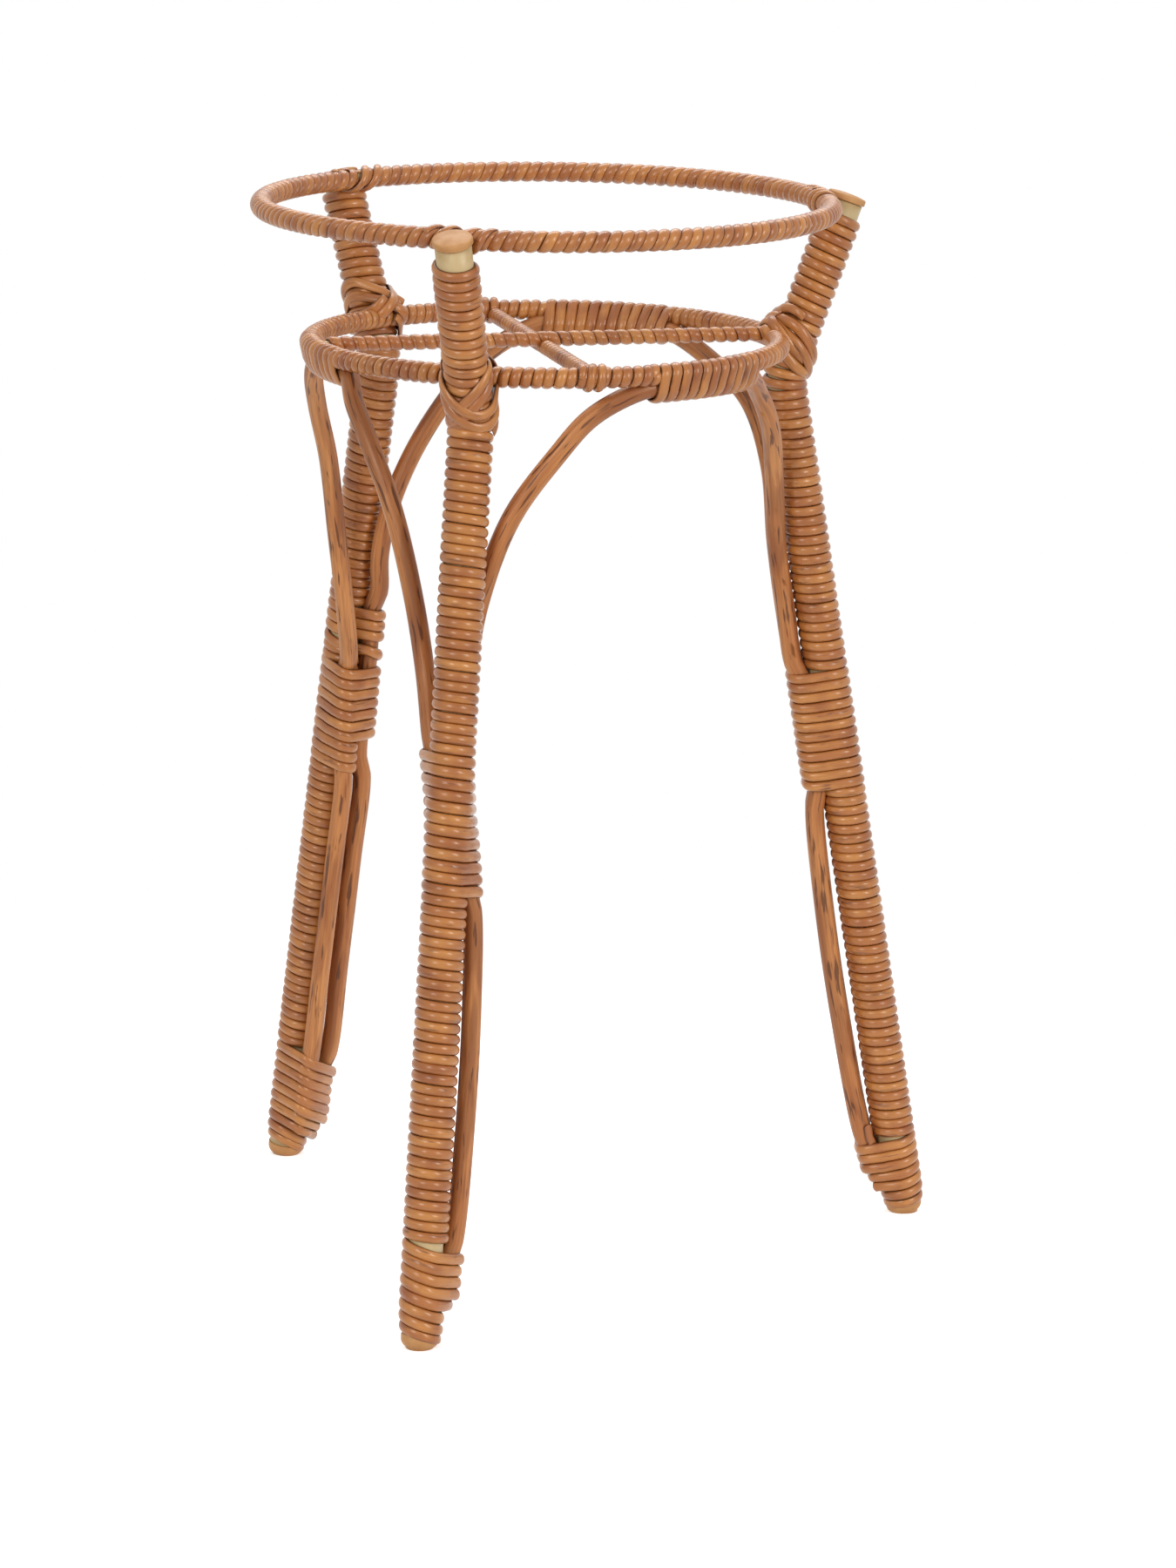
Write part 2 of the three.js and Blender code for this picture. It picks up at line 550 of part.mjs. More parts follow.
function halfArch(leg, sign, shoulder) {
  const edge = footTop(leg);
  const low = leg.midHeight;
  const solo = sign < 0;
  const top = bindingTop(leg, solo);
  const third = SHELF_HOOP_HEIGHT - SHOULDER_DROPS[0];
  const heights = [
    ...SHOULDER_SHARES.map((share) => top + share * (third - top)),
    ...SHOULDER_DROPS.map((drop) => SHELF_HOOP_HEIGHT - drop),
  ];
  const passes = leg.soloTurns > 0 && !solo;
  const release = passes ? PASS_RELEASE : ROD_RELEASE;
  const bow = CLEAR_REACH + leg.rodBow;
  const seat = ROD_REACH + ROD_SEAT;
  const beside = [
    [ROD_FOOT_HEIGHT, seat],
    [(ROD_FOOT_HEIGHT + edge) / 2, seat],
    [edge - ROD_RELEASE, seat],
    [edge + BARE, CLEAR_REACH + ROD_CLEAR],
    [(edge + low) / 2 - BOW_BELOW, bow],
    [(edge + low) / 2 + BOW_ABOVE, bow],
    [low - BARE, CLEAR_REACH + ROD_CLEAR],
    [low + ROD_RELEASE, seat],
    [(low + top) / 2, seat],
    [top - release - ROD_STRAIGHT, seat],
    [top - release, seat],
    [top + (passes ? PASS_RISE : BARE), CLEAR_REACH + (passes ? PASS_CLEAR : ROD_CLEAR)],
  ].map(([height, reach]) => rodBeside(leg, sign, height, reach));
  const lift = shoulder.map(([inward, sideways], i) => (
    polar(leg.azimuth, lowerRadiusAt(heights[i]) - inward, sign * sideways, heights[i])));
  return [...beside, ...lift];
}

function archPath(arch) {
  const from = LEGS[arch.from];
  const to = LEGS[arch.to];
  const middle = from.azimuth + Math.PI / LEG_COUNT;
  const crown = [-1, -0.6, -0.2, 0.2, 0.6, 1].map((share) => (
    polar(middle + share * ARCH_BIND_HALF, CROWN_RADIUS, 0, CROWN_HEIGHT)));
  return new THREE.CatmullRomCurve3([
    ...halfArch(from, 1, arch.shoulders[0]),
    ...crown,
    ...halfArch(to, -1, arch.shoulders[1]).reverse(),
  ], false, 'centripetal');
}

function buildArches() {
  for (const arch of ARCHES) {
    const path = archPath(arch);
    const spans = path.points.length - 1;
    const stations = [];
    for (let i = 0; i <= spans * 2; i += 1) {
      const curved = Math.abs(i - spans) < ROD_CURVED_SPANS;
      if (i % 2 === 0 || curved) {
        stations.push(path.getPoint(i / (spans * 2)));
      }
    }
    const round = section(circle(ROD_RADIUS, ROD_SIDES));
    add(`arch_rod_${arch.name}`, extrudeAlong(new StationPath(stations), stations.length - 1, round), 'rod');
  }
}

// ---------------------------------------------------------------- bindings on the legs
const legAxis = (frame) => ({ point: frame.origin, axis: frame.up, radius: TUBE_RADIUS });

function rodAxis(leg, sign, height) {
  const point = rodBeside(leg, sign, height, ROD_REACH + ROD_SEAT);
  const axis = rodBeside(leg, sign, height + 1, ROD_REACH + ROD_SEAT).sub(point).normalize();
  return { point, axis, radius: ROD_RADIUS };
}

function wound(name, stations, pitch, perTurn) {
  const geometry = strandGeometry(stations, pitch - STRAND_GAP, STRAND_THICK);
  const gap = leastGap(geometry, strandSection(1, 1).length, perTurn);
  console.log(`${name}: least gap between turns ${gap.toFixed(2)} mm`);
  add(name, geometry, 'strand');
}

function buildBindings() {
  const HALF_STEP = Math.PI / TURN_STEPS;
  for (const leg of LEGS) {
    const start = legFrame(leg, leg.midHeight + leg.midPitch / 2);
    const main = leg.midTurns - 1;
    const rounds = (turn) => {
      const height = leg.midHeight + leg.midPitch * Math.cos(SPLAY) * (turn + 0.5);
      const rods = (turn > main ? [-1] : [1, -1]).map((sign) => rodAxis(leg, sign, height));
      return [legAxis(start), ...rods];
    };
    wound(`mid_binding_${leg.name}`, windStations({
      origin: start.origin,
      e1: start.out,
      e2: start.side,
      climb: (turn) => leg.midPitch * (turn + SOLO_JUMP * Math.min(Math.max(turn - main, 0), 1)),
      turns: main + leg.soloTurns,
      perTurn: TURN_STEPS,
      hand: leg.hand,
      begin: HALF_STEP,
      rounds,
    }), leg.midPitch, TURN_STEPS);

    const low = legFrame(leg, FOOT_BINDING_HEIGHT + FOOT_PITCH / 2);
    const bundle = [legAxis(low), rodAxis(leg, 1, FOOT_BINDING_HEIGHT), rodAxis(leg, -1, FOOT_BINDING_HEIGHT)];
    const free = (ROD_FOOT_HEIGHT - FOOT_BINDING_HEIGHT) / (FOOT_PITCH * Math.cos(SPLAY)) - FOOT_LAG;
    wound(`foot_binding_${leg.name}`, windStations({
      origin: low.origin,
      e1: low.out,
      e2: low.side,
      climb: (turn) => FOOT_PITCH * turn,
      turns: leg.footTurns - 1,
      perTurn: FOOT_STEPS,
      hand: leg.hand,
      rounds: (turn) => (turn < free ? [bundle[0]] : bundle),
    }), FOOT_PITCH, FOOT_STEPS);
  }
}

// ---------------------------------------------------------------- leg wraps
// A sleeve of closely laid strand turns, with its ends drawn in where the strand is tucked away.
function wrapSleeve(length) {
  const bore = (TUBE_RADIUS + FIT) / Math.cos(Math.PI / TUBE_SIDES);
  const outer = (TUBE_RADIUS + FIT + STRAND_THICK) / Math.cos(Math.PI / WRAP_SIDES) ** 0.5;
  const tuck = STRAND_THICK * 0.5;
  return lathe([
    [bore, 0],
    [outer - tuck, 0],
    [outer, tuck],
    [outer, length - tuck],
    [outer - tuck, length],
    [bore, length],
    [bore, 0],
  ], WRAP_SIDES);
}

function addLegWrap(name, leg, from, to, upper) {
  const length = (to - from) / Math.cos(upper ? FLARE : SPLAY);
  add(name, placeInFrame(wrapSleeve(length), legFrame(leg, from, upper)), 'strand');
}

// The turns of a shin wrap, each corner of them pointing between the rods. They are laid in two lengths of
// strand, the upper one starting where the lower one ends.
function addShinTurns(leg, from, to) {
  const length = (to - from) / Math.cos(SPLAY);
  const turns = Math.round(length / WRAP_PITCH);
  const pitch = length / turns;
  const start = legFrame(leg, from + pitch / 2 * Math.cos(SPLAY));
  const stations = windStations({
    origin: start.origin,
    e1: start.out,
    e2: start.side,
    rounds: [legAxis(start)],
    climb: (turn) => pitch * turn,
    turns: turns - 1,
    perTurn: WRAP_STEPS,
    hand: -1,
    begin: Math.PI - leg.pairTurns[0],
  });
  const meet = Math.floor(turns / 2) * WRAP_STEPS;
  const upper = stations.slice(meet);
  const run = upper[0].point.distanceTo(upper[1].point);
  upper[0] = { point: upper[0].point.clone().lerp(upper[1].point, STRAND_GAP / run), out: upper[0].out };
  wound(`shin_wrap_${leg.name}`, stations.slice(0, meet + 1), pitch, WRAP_STEPS);
  wound(`shin_wrap_upper_${leg.name}`, upper, pitch, WRAP_STEPS);
}

function buildLegWraps() {
  for (const leg of LEGS) {
    const shin = [footTop(leg) + BARE, leg.midHeight - BARE];
    if (leg.shinTurns) {
      addShinTurns(leg, ...shin);
    } else {
      addLegWrap(`shin_wrap_${leg.name}`, leg, ...shin, false);
    }
    addLegWrap(`thigh_wrap_${leg.name}`, leg, bindingTop(leg, true) + BARE, KNEE_HEIGHT - KNEE_REACH - 1, false);
    const low = SHELF_CONTACT + SHELF_LASH_REACH * Math.cos(FLARE);
    addLegWrap(`neck_wrap_${leg.name}`, leg, low, TUBE_TOP_HEIGHT - TOP_BARE - TOP_LASH_DEPTH, true);
  }
}

// ---------------------------------------------------------------- hoop wraps
function alongHoop(radius, height, start, end, shape) {
  const stations = hoopStations(radius, height, start, end);
  return extrudeAlong(new StationPath(stations), stations.length - 1, shape);
}

function hoopSleeve(name, radius, height, start, end, notched) {
  const inner = (HOOP_WIRE_RADIUS + FIT) / Math.cos(Math.PI / 8);
  const shape = section(circle(inner + HOOP_WRAP_THICK, 8), circle(inner, 8));
  const geometry = alongHoop(radius, height, start, end, shape);
  add(name, notched ? withoutBars(geometry) : geometry, 'strand');
}

// The outline round the hoop wire and an arch rod side by side, grown by a margin.
function pairOutline(margin, sides) {
  const wire = { x: 0, y: 0, r: HOOP_WIRE_RADIUS };
  const rod = { x: CROWN_DROP, y: CROWN_INWARD, r: ROD_RADIUS };
  const points = [];
  for (let i = 0; i < sides; i += 1) {
    const angle = (i + 0.5) * 2 * Math.PI / sides;
    const dir = new THREE.Vector2(Math.cos(angle), Math.sin(angle));
    const best = [wire, rod].reduce((a, b) => (
      b.x * dir.x + b.y * dir.y + b.r > a.x * dir.x + a.y * dir.y + a.r ? b : a));
    const reach = (best.r + margin) / Math.cos(Math.PI / sides);
    points.push(new THREE.Vector2(best.x + dir.x * reach, best.y + dir.y * reach));
  }
  return points;
}

function buildHoopWraps() {
  const topSkip = TOP_WRAP_SKIP / TOP_HOOP_RADIUS;
  const shelfSkip = SHELF_WRAP_SKIP / SHELF_HOOP_RADIUS;
  const third = 2 * Math.PI / LEG_COUNT;
  for (const arch of ARCHES) {
    const start = LEGS[arch.from].azimuth;
    const middle = start + third / 2;
    hoopSleeve(`top_wrap_${arch.name}`, TOP_HOOP_RADIUS, TOP_HOOP_HEIGHT, start + topSkip,
      start + third - topSkip, false);
    const edge = ARCH_BIND_HALF + ARCH_WRAP_SKIP;
    hoopSleeve(`shelf_wrap_${arch.name}_1`, SHELF_HOOP_RADIUS, SHELF_HOOP_HEIGHT, start + shelfSkip,
      middle - edge, true);
    hoopSleeve(`shelf_wrap_${arch.name}_2`, SHELF_HOOP_RADIUS, SHELF_HOOP_HEIGHT, middle + edge,
      start + third - shelfSkip, true);
    const ease = FIT + ARCH_WRAP_EASE;
    const shape = section(pairOutline(ease + HOOP_WRAP_THICK, 12), pairOutline(ease, 12));
    const sleeve = alongHoop(SHELF_HOOP_RADIUS, SHELF_HOOP_HEIGHT, middle - ARCH_BIND_HALF + ARCH_WRAP_INSET,
      middle + ARCH_BIND_HALF - ARCH_WRAP_INSET, shape);
    add(`arch_wrap_${arch.name}`, withoutBars(sleeve), 'strand');
  }
}

// ---------------------------------------------------------------- lashings
function diagonal(frame, tilt, dip) {
  const e1 = frame.out.clone().multiplyScalar(Math.cos(dip)).addScaledVector(frame.up, -Math.sin(dip));
  const e2 = frame.side.clone().multiplyScalar(Math.cos(tilt)).addScaledVector(frame.up, Math.sin(tilt));
  const square = e2.addScaledVector(e1, -e2.dot(e1)).normalize();
  return { e1, e2: square };
}

// Turns that slant round a leg and the hoop wire on its inner side.
function lashing({ frame, shift = 0, tilt, dip = 0, lift }) {
  const { e1, e2 } = diagonal(frame, tilt, dip);
  const normal = e1.clone().cross(e2);
  const wire = {
    point: inFrame(frame, -WIRE_REACH, 0, 0),
    axis: frame.side,
    radius: HOOP_WIRE_RADIUS + HOOP_BULGE,
  };
  return strandGeometry(windStations({
    origin: inFrame(frame, -WIRE_REACH, shift, 0).addScaledVector(normal, -LASH_PITCH * LASH_TURNS / 2),
    e1,
    e2,
    rounds: [legAxis(frame), wire],
    climb: (turn) => LASH_PITCH * turn,
    turns: LASH_TURNS,
    perTurn: LASH_STEPS,
    begin: Math.PI,
    lift,
  }), LASH_PITCH - STRAND_GAP, STRAND_THICK);
}

// Each leg has two lashings at the shelf hoop, one over the other. Where a bar ends between them, they are
// fused where they cross, because its way cuts through both.
function buildLashings() {
  const low = FIT + LASH_SLACK;
  for (const leg of LEGS) {
    const frame = legFrame(leg, SHELF_CONTACT, true);
    const under = lashing({ frame, tilt: SHELF_TILT, lift: low });
    if (leg.azimuth === BARS[0].azimuth) {
      const over = lashing({ frame, tilt: -SHELF_TILT, lift: FIT + FUSED_SLACK });
      const crossed = toSolid(under).add(toSolid(over));
      add(`shelf_lashing_${leg.name}`, withoutBars(toGeometry(crossed)), 'strand');
    } else {
      add(`shelf_lashing_${leg.name}`, under, 'strand');
      const over = lashing({ frame, tilt: -SHELF_TILT, lift: low + STRAND_THICK + OVER_SLACK });
      add(`shelf_lashing_over_${leg.name}`, over, 'strand');
    }
    const top = legFrame(leg, TOP_CONTACT, true);
    const tie = lashing({ frame: top, shift: TOP_SHIFT, tilt: TOP_TILT, dip: TOP_DIP, lift: low + TOP_SLACK });
    add(`top_lashing_${leg.name}`, tie, 'strand');
  }
}

buildLegs();
buildHoops();
buildBars();
buildArches();
buildBindings();
buildLegWraps();
buildHoopWraps();
buildLashings();

// The origin is the centre of the box's bottom face.
const box = new THREE.Box3().setFromObject(stand);
const middle = box.getCenter(new THREE.Vector3());
for (const mesh of stand.children) {
  mesh.position.set(-middle.x, -middle.y, -box.min.z);
}

export default stand;
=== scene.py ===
# Looks of a three-legged wicker plant stand: bent tubes and rings wound with half-round strand,
# and three bent arch rods bound to the legs and to the shelf ring. Lengths are metres, +Z is up.

import math
from collections import namedtuple

import bmesh
import bpy
from mathutils import Matrix, Vector, noise


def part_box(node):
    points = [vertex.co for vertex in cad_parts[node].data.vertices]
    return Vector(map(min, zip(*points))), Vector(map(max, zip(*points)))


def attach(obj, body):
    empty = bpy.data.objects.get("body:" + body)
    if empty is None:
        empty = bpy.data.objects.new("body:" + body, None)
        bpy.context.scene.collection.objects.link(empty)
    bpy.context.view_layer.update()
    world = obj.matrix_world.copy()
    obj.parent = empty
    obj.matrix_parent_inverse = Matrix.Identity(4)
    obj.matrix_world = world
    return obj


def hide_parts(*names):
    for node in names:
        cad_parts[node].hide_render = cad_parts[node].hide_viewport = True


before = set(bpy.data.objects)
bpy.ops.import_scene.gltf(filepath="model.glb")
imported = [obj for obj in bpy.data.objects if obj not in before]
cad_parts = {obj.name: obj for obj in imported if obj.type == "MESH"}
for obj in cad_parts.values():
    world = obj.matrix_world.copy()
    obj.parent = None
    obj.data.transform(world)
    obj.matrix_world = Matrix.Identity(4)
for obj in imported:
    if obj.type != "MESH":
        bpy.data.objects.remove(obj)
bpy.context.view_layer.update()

MM = 0.001
DEG = math.pi / 180
TURN = 2 * math.pi

# ---------------- sizes shared with the frame
TUBE_RADIUS = 11 * MM
FOOT_RADIUS = 246.5 * MM
KNEE_RADIUS = 153.5 * MM
KNEE_HEIGHT = 553 * MM
KNEE_BEND = 45 * MM
FLARE = 19.8 * DEG
TUBE_TOP = 660.5 * MM
TUBE_FOOT = 8.5 * MM
RING_WIRE = 4 * MM
BAR_WIRE = 2.2 * MM
ROD_RADIUS = 6 * MM
GAP = 0.3 * MM
FOOT_BINDING = 8.5 * MM
FOOT_PITCH = 6.5 * MM
ROD_RELEASE = 9 * MM
WRAP_PITCH = 6.3 * MM
ARCH_BIND_HALF = 18 * DEG
WRAP_HAND = -1  # strands climb clockwise, seen from above

# A leg's own values. At the lower and the upper end of its mid binding, its two rods are turned about it by
# turns and stand wider apart by spreads. Between the bindings they bow out by bow. The foot binding is
# foot_turns high in the frame, and its strand climbs foot_last turns in the sense of hand, foot_lead apart
# and tilted by foot_tilt. The mid binding begins at mid_low and has mid_turns, mid_pitch apart, and then
# solo_turns round one rod. Below the shelf ring's contact, the thigh's strand ends at thigh_drop and the
# neck's begins at neck_drop. Above the neck's strand the paint is bare.
Leg = namedtuple(
    "Leg", "name azimuth turns spreads bow foot_turns foot_tilt hand mid_low mid_pitch mid_turns solo_turns "
    "thigh_drop neck_drop bare foot_lead foot_last")
LEGS = [
    Leg("a", -120 * DEG, (16 * DEG, -35 * DEG), (0, 0), 4.2 * MM, 7, -13 * DEG, -1,
        270 * MM, 7.05 * MM, 12, 0, 13 * MM, 12.5 * MM, 12 * MM, 7.2 * MM, 7),
    Leg("b", 120 * DEG, (-11.5 * DEG, 14 * DEG), (7.5 * DEG, 7.5 * DEG), 0.8 * MM, 9, 25 * DEG, -1,
        280 * MM, 7.15 * MM, 10, 4, 3 * MM, 2.5 * MM, 9 * MM, 7.1 * MM, 9),
    Leg("c", 0, (16 * DEG, 16 * DEG), (0, 0), 4.2 * MM, 6, 4 * DEG, 1,
        285 * MM, 6.5 * MM, 12, 0, 8 * MM, 2 * MM, 8 * MM, 6.9 * MM, 6),
]

# ---------------- sizes of the finish
STRAND_THICK = 2.9 * MM
BACK_AZIMUTH = 76.5 * DEG
RING_STRAND_THICK = 2.6 * MM
BAR_STRAND_THICK = 2.6 * MM
TOP_PITCH = 7.4 * MM
SHELF_PITCH = 6.6 * MM
BAR_PITCH = {"x": 7.4 * MM, "y": 7.0 * MM}
LEG_STEPS = 26
RING_STEPS = 18
BAR_STEPS = 16
BUNDLE_STEPS = 28
LASH_STEPS = 32

SPLAY = math.atan((FOOT_RADIUS - KNEE_RADIUS) / KNEE_HEIGHT)
KNEE_REACH = KNEE_BEND * math.tan((SPLAY + FLARE) / 2)


def ring_of(node):
    """Centre and centre-line radius of a ring wire."""
    low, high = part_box(node)
    return (low + high) / 2, (high.x - low.x) / 2 - RING_WIRE


TOP_CENTRE, TOP_RADIUS = ring_of("top_hoop_wire")
SHELF_CENTRE, SHELF_RADIUS = ring_of("shelf_hoop_wire")
AXIS = Vector((TOP_CENTRE.x, TOP_CENTRE.y, 0))

# ---------------- leg frames
Place = namedtuple("Place", "origin out side up")


def clamped(value):
    """A value held between 0 and 1."""
    return min(max(value, 0), 1)


def polar(azimuth, radius, side, height):
    """A point or a direction given outward and sideways of the direction at an azimuth."""
    c, s = math.cos(azimuth), math.sin(azimuth)
    return Vector((radius * c - side * s, radius * s + side * c, height))


def lower_radius(height):
    """How far the straight line of a leg's lower part stands from the axis."""
    return FOOT_RADIUS - height * math.tan(SPLAY)


def upper_radius(height):
    """How far the straight line of a leg's upper part stands from the axis."""
    return KNEE_RADIUS + (height - KNEE_HEIGHT) * math.tan(FLARE)


def leaning_place(leg, radius, height, lean):
    """A place on a leg that leans outward by an angle, with the directions out, sideways and up along it."""
    c, s = math.cos(lean), math.sin(lean)
    return Place(AXIS + polar(leg.azimuth, radius, 0, height), polar(leg.azimuth, c, 0, -s),
                 polar(leg.azimuth, 0, 1, 0), polar(leg.azimuth, s, 0, c))


def leg_place(leg, height):
    """The place on a leg's bent centre line near a height."""
    start = KNEE_HEIGHT - KNEE_REACH * math.cos(SPLAY)
    end = KNEE_HEIGHT + KNEE_REACH * math.cos(FLARE)
    share = clamped((height - start) / (end - start))
    lean = -SPLAY + share * (FLARE + SPLAY)
    if height <= start:
        radius = lower_radius(height)
    elif height >= end:
        radius = upper_radius(height)
    else:
        a, b, c = lower_radius(start), KNEE_RADIUS, upper_radius(end)
        radius = (1 - share) ** 2 * a + 2 * share * (1 - share) * b + share ** 2 * c
    return leaning_place(leg, radius, height, lean)


def hidden_side(leg):
    """The angle round a leg at which its strands begin and end, turned to the back of the stand."""
    return BACK_AZIMUTH - leg.azimuth


def at(place, out, side, up):
    """A point given from a place, along its three directions."""
    return place.origin + out * place.out + side * place.side + up * place.up


# ---------------- swept pieces
Station = namedtuple("Station", "point out width thick")


def half_round(points=11):
    """Half-round strand from one lower edge over the top to the other, one wide and one thick."""
    lip, sole, sole_depth = 0.06, 0.42, -0.02
    outline = [(-sole, sole_depth)]
    for i in range(points):
        angle = math.pi * i / (points - 1)
        outline.append((-0.5 * math.cos(angle), lip + (1 - lip) * math.sin(angle)))
    return outline + [(sole, sole_depth)]


def disc(sides, radius):
    angles = [TURN * i / sides for i in range(sides)]
    return [(radius * math.cos(angle), radius * math.sin(angle)) for angle in angles]


def swept(name, stations, outline, offset=0.0):
    """An outline laid along the stations, as a closed piece. Its attribute grain holds each point as it
    would lie with the piece pulled straight: the way along it, then across, and up as at its thickest."""
    sides = len(outline)
    full = max(station.thick for station in stations)
    bm = bmesh.new()
    grain = bm.verts.layers.float_vector.new("grain")
    bmesh.ops.create_grid(bm, x_segments=sides, y_segments=len(stations) - 1, size=0.5)
    bm.verts.ensure_lookup_table()
    along = offset
    for row, (point, out, width, thick) in enumerate(stations):
        before = stations[max(row - 1, 0)].point
        after = stations[min(row + 1, len(stations) - 1)].point
        ahead = (after - before).normalized()
        across = ahead.cross(out).normalized()
        up = across.cross(ahead)
        if row:
            along += (point - before).length
        for column in range(sides + 1):
            x, y = outline[column % sides]
            vert = bm.verts[row * (sides + 1) + column]
            vert.co = point + across * (x * width) + up * (y * thick)
            vert[grain] = (along, x * width, y * full)
    bmesh.ops.remove_doubles(bm, verts=bm.verts[:], dist=1e-8)
    for face in bm.faces:
        face.smooth = True
    bmesh.ops.holes_fill(bm, edges=bm.edges[:], sides=0)
    bmesh.ops.recalc_face_normals(bm, faces=bm.faces[:])
    return finished(name, bm)


def finished(name, bm):
    """A new object with the mesh that was worked on."""
    mesh = bpy.data.meshes.new(name)
    bm.to_mesh(mesh)
    bm.free()
    piece = bpy.data.objects.new(name, mesh)
    bpy.context.scene.collection.objects.link(piece)
    return piece


def settle(piece, material, slot, *nodes):
    """Gives a finished piece its material and its place in the frame."""
    piece.data.materials.append(material)
    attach(piece, "root")
    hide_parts(*nodes)


def wound(name, stations, offset, material, *nodes, points=11):
    """A piece of strand laid along the stations."""
    settle(swept(name, stations, half_round(points), offset), material, "strand", *nodes)


# ---------------- strand lines
def wobble(place, seed):
    """A slow, repeatable wander between -1 and 1."""
    return noise.noise(Vector((place, seed * 7.31, 0.5)))


def laid(point, out, width, thick, share, turns, reach=0.25):
    """A station of a strand at a share of its turns. Within a reach of its ends, in turns, it is thinner,
    because it slips under its neighbours there."""
    end_show = 0.35
    near = min(share, 1 - share) * turns
    show = min(1.0, end_show + (1 - end_show) * near / reach)
    return Station(point, out, width * (0.6 + 0.4 * show), thick * show)


def leg_way(leg, low, high, count):
    """Evenly spaced places along a leg's centre line, and their spacing."""
    steps = 400
    fine = [leg_place(leg, low + (high - low) * i / steps) for i in range(steps + 1)]
    lengths = [0.0]
    for before, after in zip(fine, fine[1:]):
        lengths.append(lengths[-1] + (after.origin - before.origin).length)
    places = []
    index = 0
    for i in range(count + 1):
        goal = lengths[-1] * i / count
        while index < steps - 1 and lengths[index + 1] < goal:
            index += 1
        share = (goal - lengths[index]) / (lengths[index + 1] - lengths[index])
        places.append(leg_place(leg, low + (high - low) * (index + share) / steps))
    return places, lengths[-1] / count


def round_leg(leg, low, high, turns, seed):
    """Stations of a strand wound round a leg between two heights, with both ends on its hidden side."""
    count = round(turns * LEG_STEPS)
    places, spacing = leg_way(leg, low, high, count)
    pitch = spacing * count / turns
    stations = []
    for i, place in enumerate(places):
        share = i / count
        turn = turns * share
        angle = hidden_side(leg) + WRAP_HAND * TURN * turn
        out = math.cos(angle) * place.out + math.sin(angle) * place.side
        shift = 0.35 * MM * wobble(turn * 1.9, seed)
        reach = TUBE_RADIUS + 0.1 * MM + 0.2 * MM * (1 + wobble(turn * 1.3, seed + 5))
        roll = place.up * 0.1 * wobble(turn * 2.3, seed + 9)
        stations.append(laid(place.origin + out * reach + place.up * shift, (out + roll).normalized(),
                             pitch * 1.02, STRAND_THICK, share, turns, 0.2))
    return stations


def round_ring(centre, radius, start, end, lead, begin, width, thick, seed, wire=RING_WIRE):
    """Stations of a strand wound round a ring wire between two azimuths, with its lead in one full turn."""
    turns = radius * (end - start) / lead
    count = max(4, round(turns * RING_STEPS))
    stations = []
    for i in range(count + 1):
        share = i / count
        turn = turns * share
        azimuth = start + (end - start) * share + 0.5 * MM / radius * wobble(turn * 1.7, seed)
        radial = polar(azimuth, 1, 0, 0)
        angle = begin + TURN * turn
        out = math.cos(angle) * radial + math.sin(angle) * Vector((0, 0, 1))
        lift = wire - 0.1 * MM + 0.1 * MM * (1 + wobble(turn * 1.1, seed + 3))
        roll = polar(azimuth, 0, 1, 0) * 0.1 * wobble(turn * 2.1, seed + 8)
        stations.append(laid(centre + radial * radius + out * lift, (out + roll).normalized(), width, thick,
                             share, turns))
    return stations


def round_bar(start, end, pitch, seed):
    """Stations of a strand wound round a straight bar from one point to another."""
    ahead = (end - start).normalized()
    side = ahead.cross(Vector((0, 0, 1))).normalized()
    top = side.cross(ahead)
    turns = max(1, round((end - start).length / pitch))
    count = turns * BAR_STEPS
    stations = []
    for i in range(count + 1):
        share = i / count
        turn = i / BAR_STEPS
        angle = seed - TURN * turn
        out = math.cos(angle) * side + math.sin(angle) * top
        lift = BAR_WIRE + 0.05 * MM + 0.12 * MM * (1 + wobble(turn * 1.1, seed + 3))
        roll = ahead * 0.12 * wobble(turn * 2.1, seed + 8)
        shift = 0.3 * MM * wobble(turn * 1.7, seed)
        stations.append(laid(start.lerp(end, share) + ahead * shift + out * lift, (out + roll).normalized(),
                             pitch * 1.04, BAR_STRAND_THICK, share, turns))
    return stations


# ---------------- strand round a bundle
Bar = namedtuple("Bar", "point axis radius")


def reach_of(bar, origin, e1, e2, angle):
    """How far a round bar reaches in a direction of a plane that cuts it, and the foot of its axis there."""
    normal = e1.cross(e2)
    a1, a2, an = e1.dot(bar.axis), e2.dot(bar.axis), normal.dot(bar.axis)
    along = (origin - bar.point).dot(normal) / an
    centre = bar.point + bar.axis * along - origin
    x, y = math.cos(angle), math.sin(angle)
    spread = (1 - a2 * a2) * x * x + 2 * a1 * a2 * x * y + (1 - a1 * a1) * y * y
    return centre.dot(e1) * x + centre.dot(e2) * y + bar.radius * math.sqrt(spread) / abs(an)


def pulled_tight(bars, origin, e1, e2, angle, step, slack):
    """A corner of a strand pulled tight round some bars, and the way out from there. It lies where the
    tangent lines half a step before and half a step after an angle meet."""
    before, after = angle - step / 2, angle + step / 2
    near = max(reach_of(bar, origin, e1, e2, before) for bar in bars) + slack
    far = max(reach_of(bar, origin, e1, e2, after) for bar in bars) + slack
    x = (near * math.sin(after) - far * math.sin(before)) / math.sin(step)
    y = (far * math.cos(before) - near * math.cos(after)) / math.sin(step)
    point = origin + e1 * x + e2 * y
    host = max(bars, key=lambda bar: reach_of(bar, origin, e1, e2, angle))
    arm = point - host.point
    return point, (arm - host.axis * arm.dot(host.axis)).normalized()


